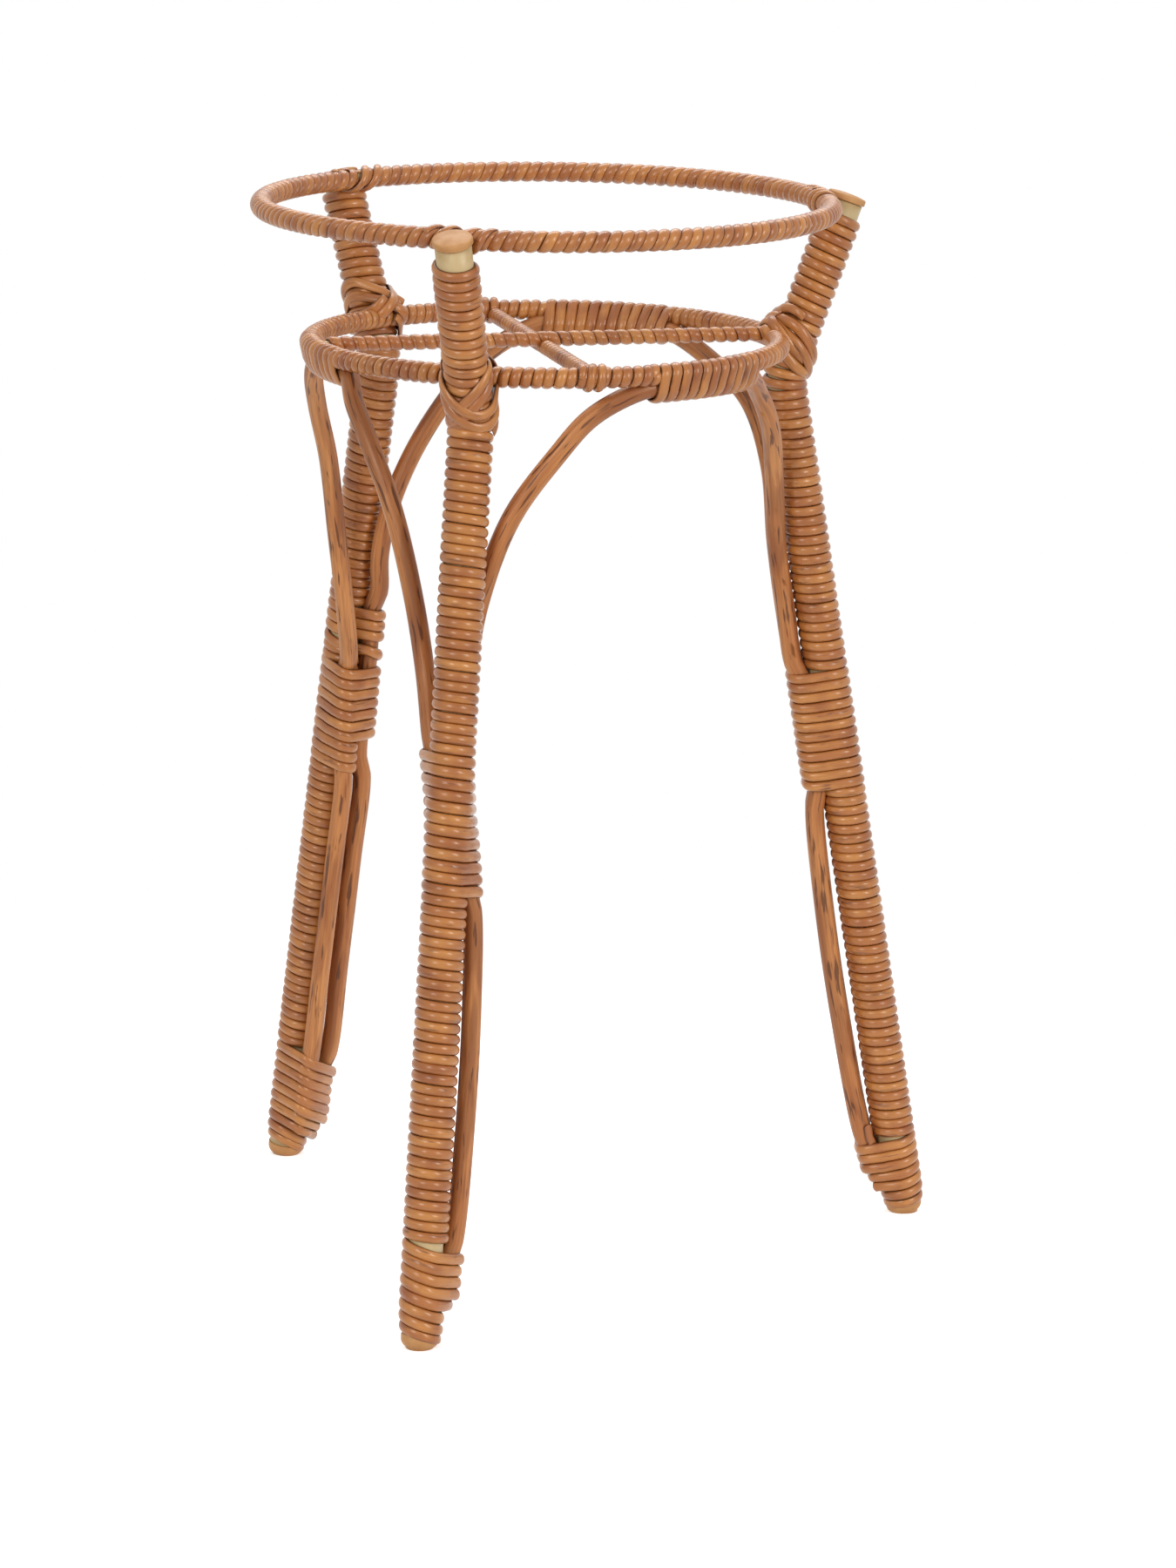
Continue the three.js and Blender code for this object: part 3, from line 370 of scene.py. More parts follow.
def round_bundle(place, e1, e2, bundle, climb, first, last, width, hand, begin, lift, seed,
                 steps=BUNDLE_STEPS):
    """Stations of a strand pulled tight round the bars that bundle gives for each turn. Its turns lie in the
    plane of e1 and e2, and climb along the place's own axis."""
    step = hand * TURN / steps
    turns = last - first
    count = round(turns * steps)
    stations = []
    for i in range(count + 1):
        turn = first + i / steps
        angle = begin + hand * TURN * turn
        here = place.origin + place.up * (climb(turn) + 0.25 * MM * wobble(turn * 1.7, seed))
        slack = lift + 0.15 * MM * (1 + wobble(turn * 1.3, seed + 4))
        point, out = pulled_tight(bundle(turn), here, e1, e2, angle, step, slack)
        stations.append(laid(point, out, width, STRAND_THICK, i / count, turns))
    return stations


def leant(place, tilt, dip=0.0):
    """Two directions of a plane across a leg, tipped up at its side and down outside."""
    e1 = place.out * math.cos(dip) - place.up * math.sin(dip)
    e2 = place.side * math.cos(tilt) + place.up * math.sin(tilt)
    return e1, (e2 - e1 * e2.dot(e1)).normalized()


# ---------------- arch rods
ROD_REACH = TUBE_RADIUS + ROD_RADIUS + GAP
CLEAR_REACH = TUBE_RADIUS + 9.6 * MM
ROD_FOOT = 24 * MM
SOLO_JUMP = 1.5  # in pitches of the mid binding
CROWN_INWARD = 5 * MM
CROWN_DROP = math.sqrt((RING_WIRE + ROD_RADIUS + GAP) ** 2 - CROWN_INWARD ** 2)
# Above the mid binding a rod passes through five points: two at shares of the way up to the first drop, and
# one at each drop below the shelf ring. A shoulder says how far inward of the leg's line and how far
# sideways of it each of them lies, in millimetres like the drops.
SHOULDER_SHARES = (0.31, 0.63)
SHOULDER_DROPS = (86, 48, 24.5)
WIDE_SHOULDER = [(23, 27), (20.5, 36), (18.8, 51), (22, 69), (32, 84)]
WIDER_SHOULDER = [(23, 26.5), (20.5, 37.5), (18.8, 51), (22, 69), (32, 84)]
CLOSE_SHOULDER = [(18, 13), (16.5, 16), (10.5, 27), (12, 50), (28, 71)]
BEHIND_SHOULDER = [(21.5, -1), (22, 5), (21, 22), (25, 47), (34, 66)]
INNER_SHOULDER = [(21, 1.8), (21.5, 5.5), (21, 22), (25, 47), (34, 66)]
# Name of each arch, its two legs, and its shoulder beside each of them.
ARCHES = [("ab", 1, 0, WIDER_SHOULDER, WIDE_SHOULDER), ("bc", 2, 1, CLOSE_SHOULDER, INNER_SHOULDER),
          ("ca", 0, 2, BEHIND_SHOULDER, INNER_SHOULDER)]


def binding_top(leg, solo):
    """Height of the upper edge of a mid binding, with or without its turns round one rod."""
    extra = leg.solo_turns + SOLO_JUMP if solo and leg.solo_turns else 0
    return leg.mid_low + (leg.mid_turns + extra) * leg.mid_pitch * math.cos(SPLAY)


def foot_top(leg):
    """Height of the upper edge of the frame's foot binding."""
    return FOOT_BINDING + leg.foot_turns * FOOT_PITCH * math.cos(SPLAY)


def rod_beside(leg, sign, height, reach):
    """Centre of a rod beside its leg. The pair turns about the tube, and spreads, along the mid binding."""
    length = binding_top(leg, True) - leg.mid_low
    share = clamped((height - leg.mid_low) / length)
    change = leg.turns[1] - leg.turns[0]
    slant = math.atan(ROD_REACH * change / length)
    half = math.asin((ROD_RADIUS + GAP / 2) / ROD_REACH / math.cos(slant))
    half += leg.spreads[0] + share * (leg.spreads[1] - leg.spreads[0])
    angle = sign * half + leg.turns[0] + share * change
    return at(leg_place(leg, height), -reach * math.cos(angle), reach * math.sin(angle), 0)


def half_arch(leg, sign, shoulder):
    """Points of a rod from its foot end up beside one leg and on to the shelf ring."""
    edge, low = foot_top(leg), leg.mid_low
    solo = sign < 0
    top = binding_top(leg, solo)
    passes = leg.solo_turns > 0 and not solo
    inside = 2 * MM
    last_hold = top - (1.5 * MM if passes else inside)
    middle = (edge + low) / 2
    bow = CLEAR_REACH + leg.bow
    clear = CLEAR_REACH + 0.4 * MM
    leaving = (top + 5 * MM, CLEAR_REACH + 1.5 * MM) if passes else (top + ROD_RELEASE, clear)
    rows = [
        (ROD_FOOT, ROD_REACH), ((ROD_FOOT + edge) / 2, ROD_REACH), (edge - inside, ROD_REACH),
        (edge + ROD_RELEASE, clear), (middle - 32 * MM, bow), (middle + 40 * MM, bow),
        (low - ROD_RELEASE, clear), (low + inside, ROD_REACH), ((low + top) / 2, ROD_REACH),
        (last_hold - 8 * MM, ROD_REACH), (last_hold, ROD_REACH), leaving,
    ]
    beside = [rod_beside(leg, sign, height, reach) for height, reach in rows]
    ring = SHELF_CENTRE.z
    first_drop = ring - SHOULDER_DROPS[0] * MM
    heights = [top + share * (first_drop - top) for share in SHOULDER_SHARES]
    heights += [ring - drop * MM for drop in SHOULDER_DROPS]
    lift = [AXIS + polar(leg.azimuth, lower_radius(h) - inward * MM, sign * sideways * MM, h)
            for h, (inward, sideways) in zip(heights, shoulder)]
    return beside + lift


def between(t, ta, tb, a, b):
    return (tb - t) / (tb - ta) * a + (t - ta) / (tb - ta) * b


def smooth_line(points, spacing):
    """Points at an even spacing on a centripetal curve through the given ones."""
    ends = [points[0] * 2 - points[1]] + points + [points[-1] * 2 - points[-2]]
    fine = []
    for p0, p1, p2, p3 in zip(ends, ends[1:], ends[2:], ends[3:]):
        knots = [0.0]
        for a, b in ((p0, p1), (p1, p2), (p2, p3)):
            knots.append(knots[-1] + max((b - a).length, 1e-6) ** 0.5)
        t0, t1, t2, t3 = knots
        pieces = max(2, int((p2 - p1).length / spacing))
        for i in range(pieces):
            t = t1 + (t2 - t1) * i / pieces
            a1 = between(t, t0, t1, p0, p1)
            a2 = between(t, t1, t2, p1, p2)
            a3 = between(t, t2, t3, p2, p3)
            b1 = between(t, t0, t2, a1, a2)
            b2 = between(t, t1, t3, a2, a3)
            fine.append(between(t, t1, t2, b1, b2))
    return fine + [points[-1]]


# ---------------- colours and materials
def srgb(red, green, blue):
    """A display colour from 0 to 255 as a linear colour for a shader."""
    def linear(value):
        value /= 255
        return value / 12.92 if value <= 0.04045 else ((value + 0.055) / 1.055) ** 2.4
    return linear(red), linear(green), linear(blue), 1.0


CARAMEL = srgb(182, 112, 55)
HONEY = srgb(206, 138, 70)
RUSSET = srgb(144, 75, 36)
# Painted shade laid into the grooves where the strand's turns meet.
GROOVE_SHADE = srgb(78, 34, 16)
SMUDGE = srgb(104, 54, 34)
ROD_TAN = srgb(190, 120, 68)
ROD_PALE = srgb(212, 144, 86)
ROD_BROWN = srgb(122, 64, 36)
FLECK = srgb(78, 38, 24)
CAP_TAN = srgb(202, 148, 92)
CAP_SHADE = srgb(182, 124, 72)
KHAKI = srgb(208, 181, 132)
KHAKI_SHADE = srgb(188, 156, 106)


class Graph:
    """Adds shader nodes to a tree and links them: a value that is a socket is linked, any other is set."""

    def __init__(self, tree):
        self.tree = tree

    def add(self, kind, inputs=None, **settings):
        made = self.tree.nodes.new(kind)
        for key, value in settings.items():
            setattr(made, key, value)
        for key, value in (inputs or {}).items():
            socket = made.inputs[key]
            if isinstance(value, bpy.types.NodeSocket):
                self.tree.links.new(value, socket)
            else:
                socket.default_value = value
        return made

    def feed(self, node, key, value):
        self.tree.links.new(value, node.inputs[key])

    def maths(self, operation, *values):
        return self.add("ShaderNodeMath", dict(enumerate(values)), operation=operation).outputs[0]

    def vector(self, operation, *values):
        return self.add("ShaderNodeVectorMath", dict(enumerate(values)), operation=operation).outputs[0]

    def noise(self, vector, scale, detail=3.0, rough=0.5, distortion=0.0):
        return self.add("ShaderNodeTexNoise", {
            "Vector": vector, "Scale": scale, "Detail": detail, "Roughness": rough, "Distortion": distortion,
        }).outputs["Fac"]

    def ramp(self, value, low, high):
        """A smooth rise from 0 to 1 between two values."""
        return self.add("ShaderNodeMapRange", {"Value": value, "From Min": low, "From Max": high},
                        interpolation_type="SMOOTHSTEP").outputs["Result"]

    def mix(self, factor, a, b):
        """One colour turned into another by a factor."""
        return self.add("ShaderNodeMix", {0: factor, 6: a, 7: b}, data_type="RGBA").outputs[2]


def new_group(name, inputs, outputs):
    """A shader node group with its sockets. Returns the group, its graph and its two end nodes."""
    group = bpy.data.node_groups.new(name, "ShaderNodeTree")
    for in_out, sockets in (("INPUT", inputs), ("OUTPUT", outputs)):
        for socket_name, kind in sockets:
            group.interface.new_socket(socket_name, in_out=in_out, socket_type=kind)
    graph = Graph(group)
    return group, graph, graph.add("NodeGroupInput"), graph.add("NodeGroupOutput")


def fibre_group():
    """Fine lines and dark smudges that run along a strand or a rod."""
    group, g, start, end = new_group(
        "fibre",
        [("Grain", "NodeSocketVector"), ("Line Size", "NodeSocketFloat"), ("Line Length", "NodeSocketFloat"),
         ("Smudge Size", "NodeSocketFloat"), ("Smudge Reach", "NodeSocketFloat")],
        [("Lines", "NodeSocketFloat"), ("Smudges", "NodeSocketFloat"), ("Tone", "NodeSocketFloat")],
    )

    def stretched(length):
        parts = g.add("ShaderNodeSeparateXYZ", {0: start.outputs["Grain"]})
        along = g.maths("DIVIDE", parts.outputs[0], length)
        return g.add("ShaderNodeCombineXYZ", {0: along, 1: parts.outputs[1], 2: parts.outputs[2]}).outputs[0]

    fine = g.maths("DIVIDE", 1.0, start.outputs["Line Size"])
    lines = g.noise(stretched(start.outputs["Line Length"]), fine, 4.0, 0.6)
    broad = g.maths("DIVIDE", 1.0, start.outputs["Smudge Size"])
    patch = g.noise(stretched(start.outputs["Smudge Reach"]), broad, 2.0, 0.5, 0.3)
    patch = g.ramp(patch, 0.56, 0.74)
    torn = g.ramp(lines, 0.36, 0.62)
    tone = g.noise(stretched(6.0), g.maths("MULTIPLY", broad, 0.35), 1.0, 0.5)
    g.feed(end, "Lines", g.ramp(lines, 0.3, 0.7))
    g.feed(end, "Smudges", g.maths("MULTIPLY", patch, torn))
    g.feed(end, "Tone", g.ramp(tone, 0.32, 0.68))
    return group


FIBRE = fibre_group()


def relief(g, shader, height, strength, distance):
    """Small bumps on a material."""
    bump = g.add("ShaderNodeBump", {"Strength": strength, "Distance": distance, "Height": height})
    g.feed(shader, "Normal", bump.outputs[0])


def fibre_of(g, sizes):
    """The grain of a strand or a rod, and the lines, smudges and tone of the fibre group at some sizes."""
    grain = g.add("ShaderNodeAttribute", attribute_name="grain", attribute_type="GEOMETRY").outputs["Vector"]
    keys = ("Line Size", "Line Length", "Smudge Size", "Smudge Reach")
    fibre = g.add("ShaderNodeGroup", {"Grain": grain, **dict(zip(keys, sizes))}, node_tree=FIBRE)
    return grain, fibre.outputs["Lines"], fibre.outputs["Smudges"], fibre.outputs["Tone"]


def stained_and_shaded(g, colour, *stains_and_shade):
    """A colour with layers laid over it in turn, real stains and painted shade: each has a mask, a strength
    and its own colour.
    """
    for mask, strength, layer_colour in stains_and_shade:
        colour = g.mix(g.maths("MULTIPLY", mask, strength), colour, layer_colour)
    return colour


def new_material(name, uniform):
    """A material, its graph and its shader, with the shader's uniform values set."""
    material = bpy.data.materials.new(name)
    material.use_nodes = True
    graph = Graph(material.node_tree)
    shader = material.node_tree.nodes["Principled BSDF"]
    for key, value in uniform.items():
        shader.inputs[key].default_value = value
    return material, graph, shader


def strand_material(name, thick, warm=0.0):
    """Moulded cane strand: caramel with fine lines along it, dark smudges, and painted shade in the grooves
    between turns.
    """
    material, g, shader = new_material(name, {
        "Specular IOR Level": 0.5, "Specular Tint": (1, 0.84, 0.66, 1), "Coat Weight": 0.45,
        "Coat Roughness": 0.18})
    grain, lines, smudges, tone = fibre_of(g, (0.55 * MM, 22.0, 3.2 * MM, 4.5))
    rise = g.add("ShaderNodeSeparateXYZ", {0: grain}).outputs[2]
    # Painted shade: darker towards each turn's low edges, where the turns meet in grooves.
    painted_groove_shade = g.maths("SUBTRACT", 1.0, g.ramp(rise, 0.1 * thick, 0.66 * thick))
    patina = g.ramp(g.noise(g.add("ShaderNodeTexCoord").outputs["Object"], 55.0, 2.0), 0.45, 0.75)
    length = g.vector("MULTIPLY", grain, (1.0, 0.05, 0.0))
    lengthwise = g.ramp(g.noise(length, 26.0, 2.0, 0.6), 0.46, 0.66)
    # The last layer over the strand's colour is the painted groove shade.
    g.feed(shader, "Base Color", stained_and_shaded(
        g, g.mix(tone, CARAMEL, HONEY), (patina, 0.45 + warm, RUSSET), (lengthwise, 0.62, RUSSET),
        (lines, 0.3, RUSSET), (smudges, 0.88, SMUDGE), (painted_groove_shade, 0.92, GROOVE_SHADE)))
    g.feed(shader, "Roughness", g.maths("ADD", 0.3, g.maths("MULTIPLY", lines, 0.16)))
    relief(g, shader, lines, 0.22, 0.12 * MM)
    return material


def rod_material():
    """Smooth cane rod with long brown streaks and dark flecks."""
    material, g, shader = new_material("rod_cane", {
        "Specular IOR Level": 0.5, "Specular Tint": (1, 0.86, 0.7, 1)})
    grain, lines, smudges, tone = fibre_of(g, (1.5 * MM, 30.0, 5.5 * MM, 7.0))
    stretch = g.vector("MULTIPLY", grain, (0.11, 1.0, 1.0))
    flecks = g.ramp(g.noise(stretch, 420.0, 2.0, 0.4, 0.2), 0.6, 0.68)
    sides = g.ramp(g.noise(g.vector("MULTIPLY", grain, (0.16, 1.0, 1.0)), 90.0, 2.0, 0.5, 0.4), 0.46, 0.62)
    g.feed(shader, "Base Color", stained_and_shaded(
        g, g.mix(tone, ROD_TAN, ROD_PALE), (lines, 0.4, ROD_BROWN), (smudges, 0.6, ROD_BROWN),
        (sides, 0.55, ROD_BROWN), (flecks, 0.8, FLECK)))
    g.feed(shader, "Roughness", g.maths("ADD", 0.36, g.maths("MULTIPLY", lines, 0.12)))
    relief(g, shader, lines, 0.25, 0.15 * MM)
    return material


def mottled_material(name, colours, specular, patch_scale, patch_low, rough, rougher, skin, bump):
    """A smooth surface that is dulled in soft patches, with a fine skin of small bumps."""
    material, g, shader = new_material(name, {"Specular IOR Level": specular})
    place = g.add("ShaderNodeTexCoord").outputs["Object"]
    patches = g.ramp(g.noise(place, patch_scale, 3.0), patch_low, 0.7)
    g.feed(shader, "Base Color", g.mix(g.maths("MULTIPLY", patches, 0.5), *colours))
    g.feed(shader, "Roughness", g.maths("ADD", rough, g.maths("MULTIPLY", patches, rougher)))
    relief(g, shader, g.noise(place, skin, 2.0), *bump)
    return material


STRAND = strand_material("strand", STRAND_THICK)
RING_STRAND = strand_material("strand_on_rings", RING_STRAND_THICK, 0.15)
BAR_STRAND = strand_material("strand_on_bars", BAR_STRAND_THICK, 0.1)
ROD = rod_material()
CAP = mottled_material("cap_plastic", (CAP_TAN, CAP_SHADE), specular=0.4, patch_scale=130.0, patch_low=0.35,
                       rough=0.5, rougher=0.1, skin=1400.0, bump=(0.2, 0.1 * MM))
PAINT = mottled_material("frame_paint", (KHAKI, KHAKI_SHADE), specular=0.5, patch_scale=90.0, patch_low=0.4,
                         rough=0.36, rougher=0.2, skin=900.0, bump=(0.12, 0.08 * MM))


# ---------------- frame pieces
PLUG_RADIUS = 9.2 * MM
PLUG_DEPTH = 8 * MM
TURNED_SIDES = 48
RING_SIDES = 144


def pipe(leg):
    """The outside of a bent leg tube, whose ends lie under its caps."""
    knee = 14 * MM
    heights = [TUBE_FOOT + (KNEE_HEIGHT - knee - TUBE_FOOT) * i / 20 for i in range(21)]
    heights += [KNEE_HEIGHT + k * MM for k in range(-12, 13, 2)]
    heights += [KNEE_HEIGHT + knee + (TUBE_TOP - KNEE_HEIGHT - knee) * i / 6 for i in range(7)]
    stations = []
    for height in heights:
        place = leg_place(leg, height)
        stations.append(Station(place.origin, place.out, 1, 1))
    piece = swept(f"leg_pipe_{leg.name}", stations, disc(40, TUBE_RADIUS))
    settle(piece, PAINT, "frame_metal", f"leg_tube_{leg.name}")


def spun(bm, steps):
    """Turns an outline about the upright axis into a smooth skin."""
    bmesh.ops.spin(bm, geom=bm.verts[:] + bm.edges[:], cent=(0, 0, 0), axis=(0, 0, 1), dvec=(0, 0, 0),
                   angle=TURN, steps=steps, use_merge=True, use_duplicate=False)
    bmesh.ops.remove_doubles(bm, verts=bm.verts[:], dist=1e-6)
    bmesh.ops.recalc_face_normals(bm, faces=bm.faces[:])
    for face in bm.faces:
        face.smooth = True


def turned(name, profile, place):
    """A piece turned about a leg's axis from a profile of radius and height."""
    bm = bmesh.new()
    verts = [bm.verts.new((radius, 0, height)) for radius, height in profile]
    for pair in zip(verts, verts[1:]):
        bm.edges.new(pair)
    spun(bm, TURNED_SIDES)
    basis = Matrix((place.out, place.side, place.up)).transposed().to_4x4()
    bm.transform(Matrix.Translation(place.origin) @ basis)
    return finished(name, bm)


def arc(radius, height, round_radius, start, end, points=5):
    """Points of a rounded corner: its centre, its radius and the angles it runs between."""
    return [(radius + round_radius * math.cos(a), height + round_radius * math.sin(a))
            for a in (start + (end - start) * i / (points - 1) for i in range(points))]


def top_cap(leg):
    """The low-domed cap on a leg, with its plug in the tube."""
    brim, side, edge, shoulder = 12.2 * MM, 3 * MM, 0.6 * MM, 1.3 * MM
    profile = [(0, -PLUG_DEPTH), (PLUG_RADIUS, -PLUG_DEPTH), (PLUG_RADIUS, GAP)]
    profile += arc(brim - edge, GAP + edge, edge, -90 * DEG, 0)
    profile += arc(brim - shoulder, side, shoulder, 0, 70 * DEG)
    profile += [(PLUG_RADIUS, side + 1.65 * MM), (6 * MM, side + 2.05 * MM), (3 * MM, side + 2.18 * MM),
                (0, side + 2.2 * MM)]
    piece = turned(f"leg_cap_{leg.name}", profile, leg_place(leg, TUBE_TOP))
    settle(piece, CAP, "cap_plastic", f"top_cap_{leg.name}")


def foot_cap(leg):
    """The rounded shoe under a leg, cut level with the floor."""
    brim, edge, toe, toe_height = 11.6 * MM, 0.5 * MM, 5.5 * MM, -3.2 * MM
    below_floor = TUBE_FOOT / math.cos(SPLAY) + 3 * MM
    profile = [(0, PLUG_DEPTH), (PLUG_RADIUS, PLUG_DEPTH), (PLUG_RADIUS, -GAP)]
    profile += arc(brim - edge, -GAP - edge, edge, 90 * DEG, 0)
    profile += arc(brim - toe, toe_height, toe, 0, -62 * DEG, 8)
    profile += [(7.4 * MM, -below_floor), (0, -below_floor)]
    piece = turned(f"leg_shoe_{leg.name}", profile, leg_place(leg, TUBE_FOOT))
    bm = bmesh.new()
    bm.from_mesh(piece.data)
    bmesh.ops.bisect_plane(bm, geom=bm.verts[:] + bm.edges[:] + bm.faces[:], plane_co=(0, 0, 0.02 * MM),
                           plane_no=(0, 0, 1), clear_inner=True)
    bmesh.ops.holes_fill(bm, edges=bm.edges[:], sides=0)
    bm.to_mesh(piece.data)
    bm.free()
    settle(piece, CAP, "cap_plastic", f"foot_cap_{leg.name}")


def ring(name, centre, radius, node):
    """A ring of bent wire."""
    bm = bmesh.new()
    bmesh.ops.create_circle(bm, segments=20, radius=RING_WIRE)
    bm.transform(Matrix.Translation((radius, 0, 0)) @ Matrix.Rotation(90 * DEG, 4, "X"))
    spun(bm, RING_SIDES)
    bm.transform(Matrix.Translation(centre))
    settle(finished(name, bm), PAINT, "frame_metal", node)


def arch(name, start, end, first_shoulder, last_shoulder):
    """A bent rod: up beside one leg, round under the shelf ring and down beside the next."""
    first, last = LEGS[start], LEGS[end]
    middle = first.azimuth + TURN / 6
    crown = [AXIS + polar(middle + share * ARCH_BIND_HALF, SHELF_RADIUS - CROWN_INWARD, 0,
                          SHELF_CENTRE.z - CROWN_DROP) for share in (-1, -0.6, -0.2, 0.2, 0.6, 1)]
    points = half_arch(first, 1, first_shoulder) + crown + half_arch(last, -1, last_shoulder)[::-1]
    line = smooth_line(points, 4 * MM)
    stations = []
    for i, point in enumerate(line):
        leg = first if i < len(line) / 2 else last
        waist = rod_waist(point.z)
        inward = (leg_place(leg, point.z).origin - point).normalized()
        outward = (point - AXIS).xy.to_3d().normalized()
        stations.append(Station(point + inward * (1 - waist) * ROD_RADIUS, outward, waist, waist))
    piece = swept(f"arch_{name}", stations, disc(20, ROD_RADIUS), 3.0 * start)
    settle(piece, ROD, "rod_cane", f"arch_rod_{name}")


# ---------------- windings
CROWN_PITCH = 7.0 * MM
# How much further than in the frame a bar's strand runs, to the bars' crossing and to the shelf ring.
BAR_REST = 5.4 * MM
BAR_TAIL = 8 * MM


def leg_windings(leg, index):
    """The strand round a leg between its bindings and lashings."""
    tilt_rise = 13 * MM * math.sin(abs(leg.foot_tilt))
    spans = {
        "shin": (foot_end(leg) + tilt_rise, mid_end(leg, 0)),
        "thigh": (mid_end(leg, leg.mid_turns + leg.solo_turns), SHELF_CONTACT - leg.thigh_drop),
        "neck": (SHELF_CONTACT - leg.neck_drop, TUBE_TOP - leg.bare),
    }
    for offset, (part, (low, high)) in enumerate(spans.items()):
        seed = index * 10 + offset
        way = (leg_place(leg, high).origin - leg_place(leg, low).origin).length
        stations = round_leg(leg, low, high, round(way / WRAP_PITCH), seed)
        nodes = [f"{part}_wrap_{leg.name}"]
        if part == "shin" and f"shin_wrap_upper_{leg.name}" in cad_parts:
            nodes.append(f"shin_wrap_upper_{leg.name}")
        wound(f"{part}_winding_{leg.name}", stations, 2.0 * seed, STRAND, *nodes)


def ring_windings():
    """The strands round both rings, in thirds between the legs. The top ring has two side by side."""
    third = TURN / 3
    skip = 0.5 * MM
    under_binding = 1.8 * DEG
    for index, (name, leg) in enumerate((("ab", LEGS[1]), ("bc", LEGS[2]), ("ca", LEGS[0]))):
        start = leg.azimuth + skip / TOP_RADIUS
        end = leg.azimuth + third - skip / TOP_RADIUS
        for pair in (0, 1):
            stations = round_ring(TOP_CENTRE, TOP_RADIUS, start, end, 2 * TOP_PITCH, pair * math.pi,
                                  TOP_PITCH * 0.97, RING_STRAND_THICK, 30 + index + 4 * pair)
            wound(f"top_winding_{name}_{pair + 1}", stations, 60.0 + 3 * index + pair, RING_STRAND,
                  f"top_wrap_{name}")
        start = leg.azimuth + skip / SHELF_RADIUS
        end = leg.azimuth + third - skip / SHELF_RADIUS
        middle = leg.azimuth + third / 2
        edge = ARCH_BIND_HALF - under_binding
        for part, (low, high) in enumerate(((start, middle - edge), (middle + edge, end)), 1):
            stations = round_ring(SHELF_CENTRE, SHELF_RADIUS, low, high, SHELF_PITCH, 1.0 * index,
                                  SHELF_PITCH * 1.02, RING_STRAND_THICK, 40 + index * 2 + part)
            wound(f"shelf_winding_{name}_{part}", stations, 80.0 + 3 * index + part, RING_STRAND,
                  f"shelf_wrap_{name}_{part}")
        arch_winding(name, middle, 50 + index)


def arch_winding(name, middle, seed):
    """The strand that binds the crown of an arch to the shelf ring."""
    half = ARCH_BIND_HALF - 0.5 * DEG
    turns = round(2 * half * (SHELF_RADIUS - CROWN_INWARD / 2) / CROWN_PITCH)
    count = turns * LEG_STEPS
    step = -TURN / LEG_STEPS
    up = Vector((0, 0, 1))
    stations = []
    for i in range(count + 1):
        azimuth = middle - half + 2 * half * i / count
        radial, tangent = polar(azimuth, 1, 0, 0), polar(azimuth, 0, 1, 0)
        wire = Bar(SHELF_CENTRE + radial * SHELF_RADIUS, tangent, RING_WIRE)
        rod = Bar(wire.point - radial * CROWN_INWARD - up * CROWN_DROP, tangent, ROD_RADIUS)
        slack = 0.2 * MM * (1.5 + wobble(i / LEG_STEPS * 1.3, seed))
        origin = (wire.point + rod.point) / 2
        point, out = pulled_tight((wire, rod), origin, up, radial, seed + i * step, step, slack)
        stations.append(laid(point, out, CROWN_PITCH * 1.03, RING_STRAND_THICK, i / count, turns))
    wound(f"arch_winding_{name}", stations, 100.0 + seed, RING_STRAND, f"arch_wrap_{name}")


def bar_windings():
    """The strand round each half of the crossed bars, from near their crossing to the shelf ring."""
    for number, (name, along) in enumerate((("x", Vector((1, 0, 0))), ("y", Vector((0, 1, 0))))):
        for part, end in enumerate(("out", "back")):
            low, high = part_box(f"bar_wrap_{name}_{end}")
            centre = (low + high) / 2
            half = along * (high - low).dot(along) / 2
            toward = 1 if (AXIS - centre).dot(half) > 0 else -1
            centre += along * toward * (BAR_REST - BAR_TAIL) / 2
            half += along * (BAR_REST + BAR_TAIL) / 2
            seed = 74 + number + part
            stations = round_bar(centre - half, centre + half, BAR_PITCH[name], seed)
            wound(f"bar_winding_{name}_{end}", stations, 120.0 + seed, BAR_STRAND,
                  f"bar_wrap_{name}_{end}", points=7)


# ---------------- bindings and lashings
KNOT_PITCH = 5.5 * MM
WIRE_REACH = TUBE_RADIUS + RING_WIRE + GAP
SHELF_CONTACT = SHELF_CENTRE.z - WIRE_REACH * math.sin(FLARE)
LASH_PITCH = 6.0 * MM
LOWEST_TURN = 4.6 * MM
LOWEST_LEAD = 5.2 * MM
MID_BEGIN = math.pi / 8


def rod_bar(leg, sign, height, reach=ROD_REACH, radius=ROD_RADIUS):
    """A rod beside its leg, as a straight bar near a height."""
    point = rod_beside(leg, sign, height, reach)
    ahead = rod_beside(leg, sign, height + 1 * MM, reach)
    return Bar(point, (ahead - point).normalized(), radius)


def first_turn(leg):
    """Where a mid binding begins, in turns from the level at which its turns are counted."""
    return ((hidden_side(leg) - MID_BEGIN) * WRAP_HAND / TURN) % 1 - 1


def mid_climb(leg, turn):
    """How far along the leg a turn of the mid binding lies, with the jump to the turns round one rod."""
    jump = SOLO_JUMP if leg.solo_turns else 0
    return leg.mid_pitch * (turn + jump * clamped(turn - leg.mid_turns + 1))


def mid_end(leg, turns):
    """Height of the mid binding's strand after some whole turns."""
    return leg.mid_low + leg.mid_pitch / 2 + mid_climb(leg, first_turn(leg) + turns) * math.cos(SPLAY)


def foot_end(leg):
    """Height of the upper end of a foot binding's strand."""
    return FOOT_BINDING + FOOT_PITCH / 2 + leg.foot_lead * leg.foot_last * math.cos(SPLAY)


def rod_waist(height):
    """How full a rod still is near its foot end, which is pared down to slip under the foot binding."""
    share = clamped((height - ROD_FOOT) / (13 * MM))
    return 0.5 + 0.5 * share * share * (3 - 2 * share)


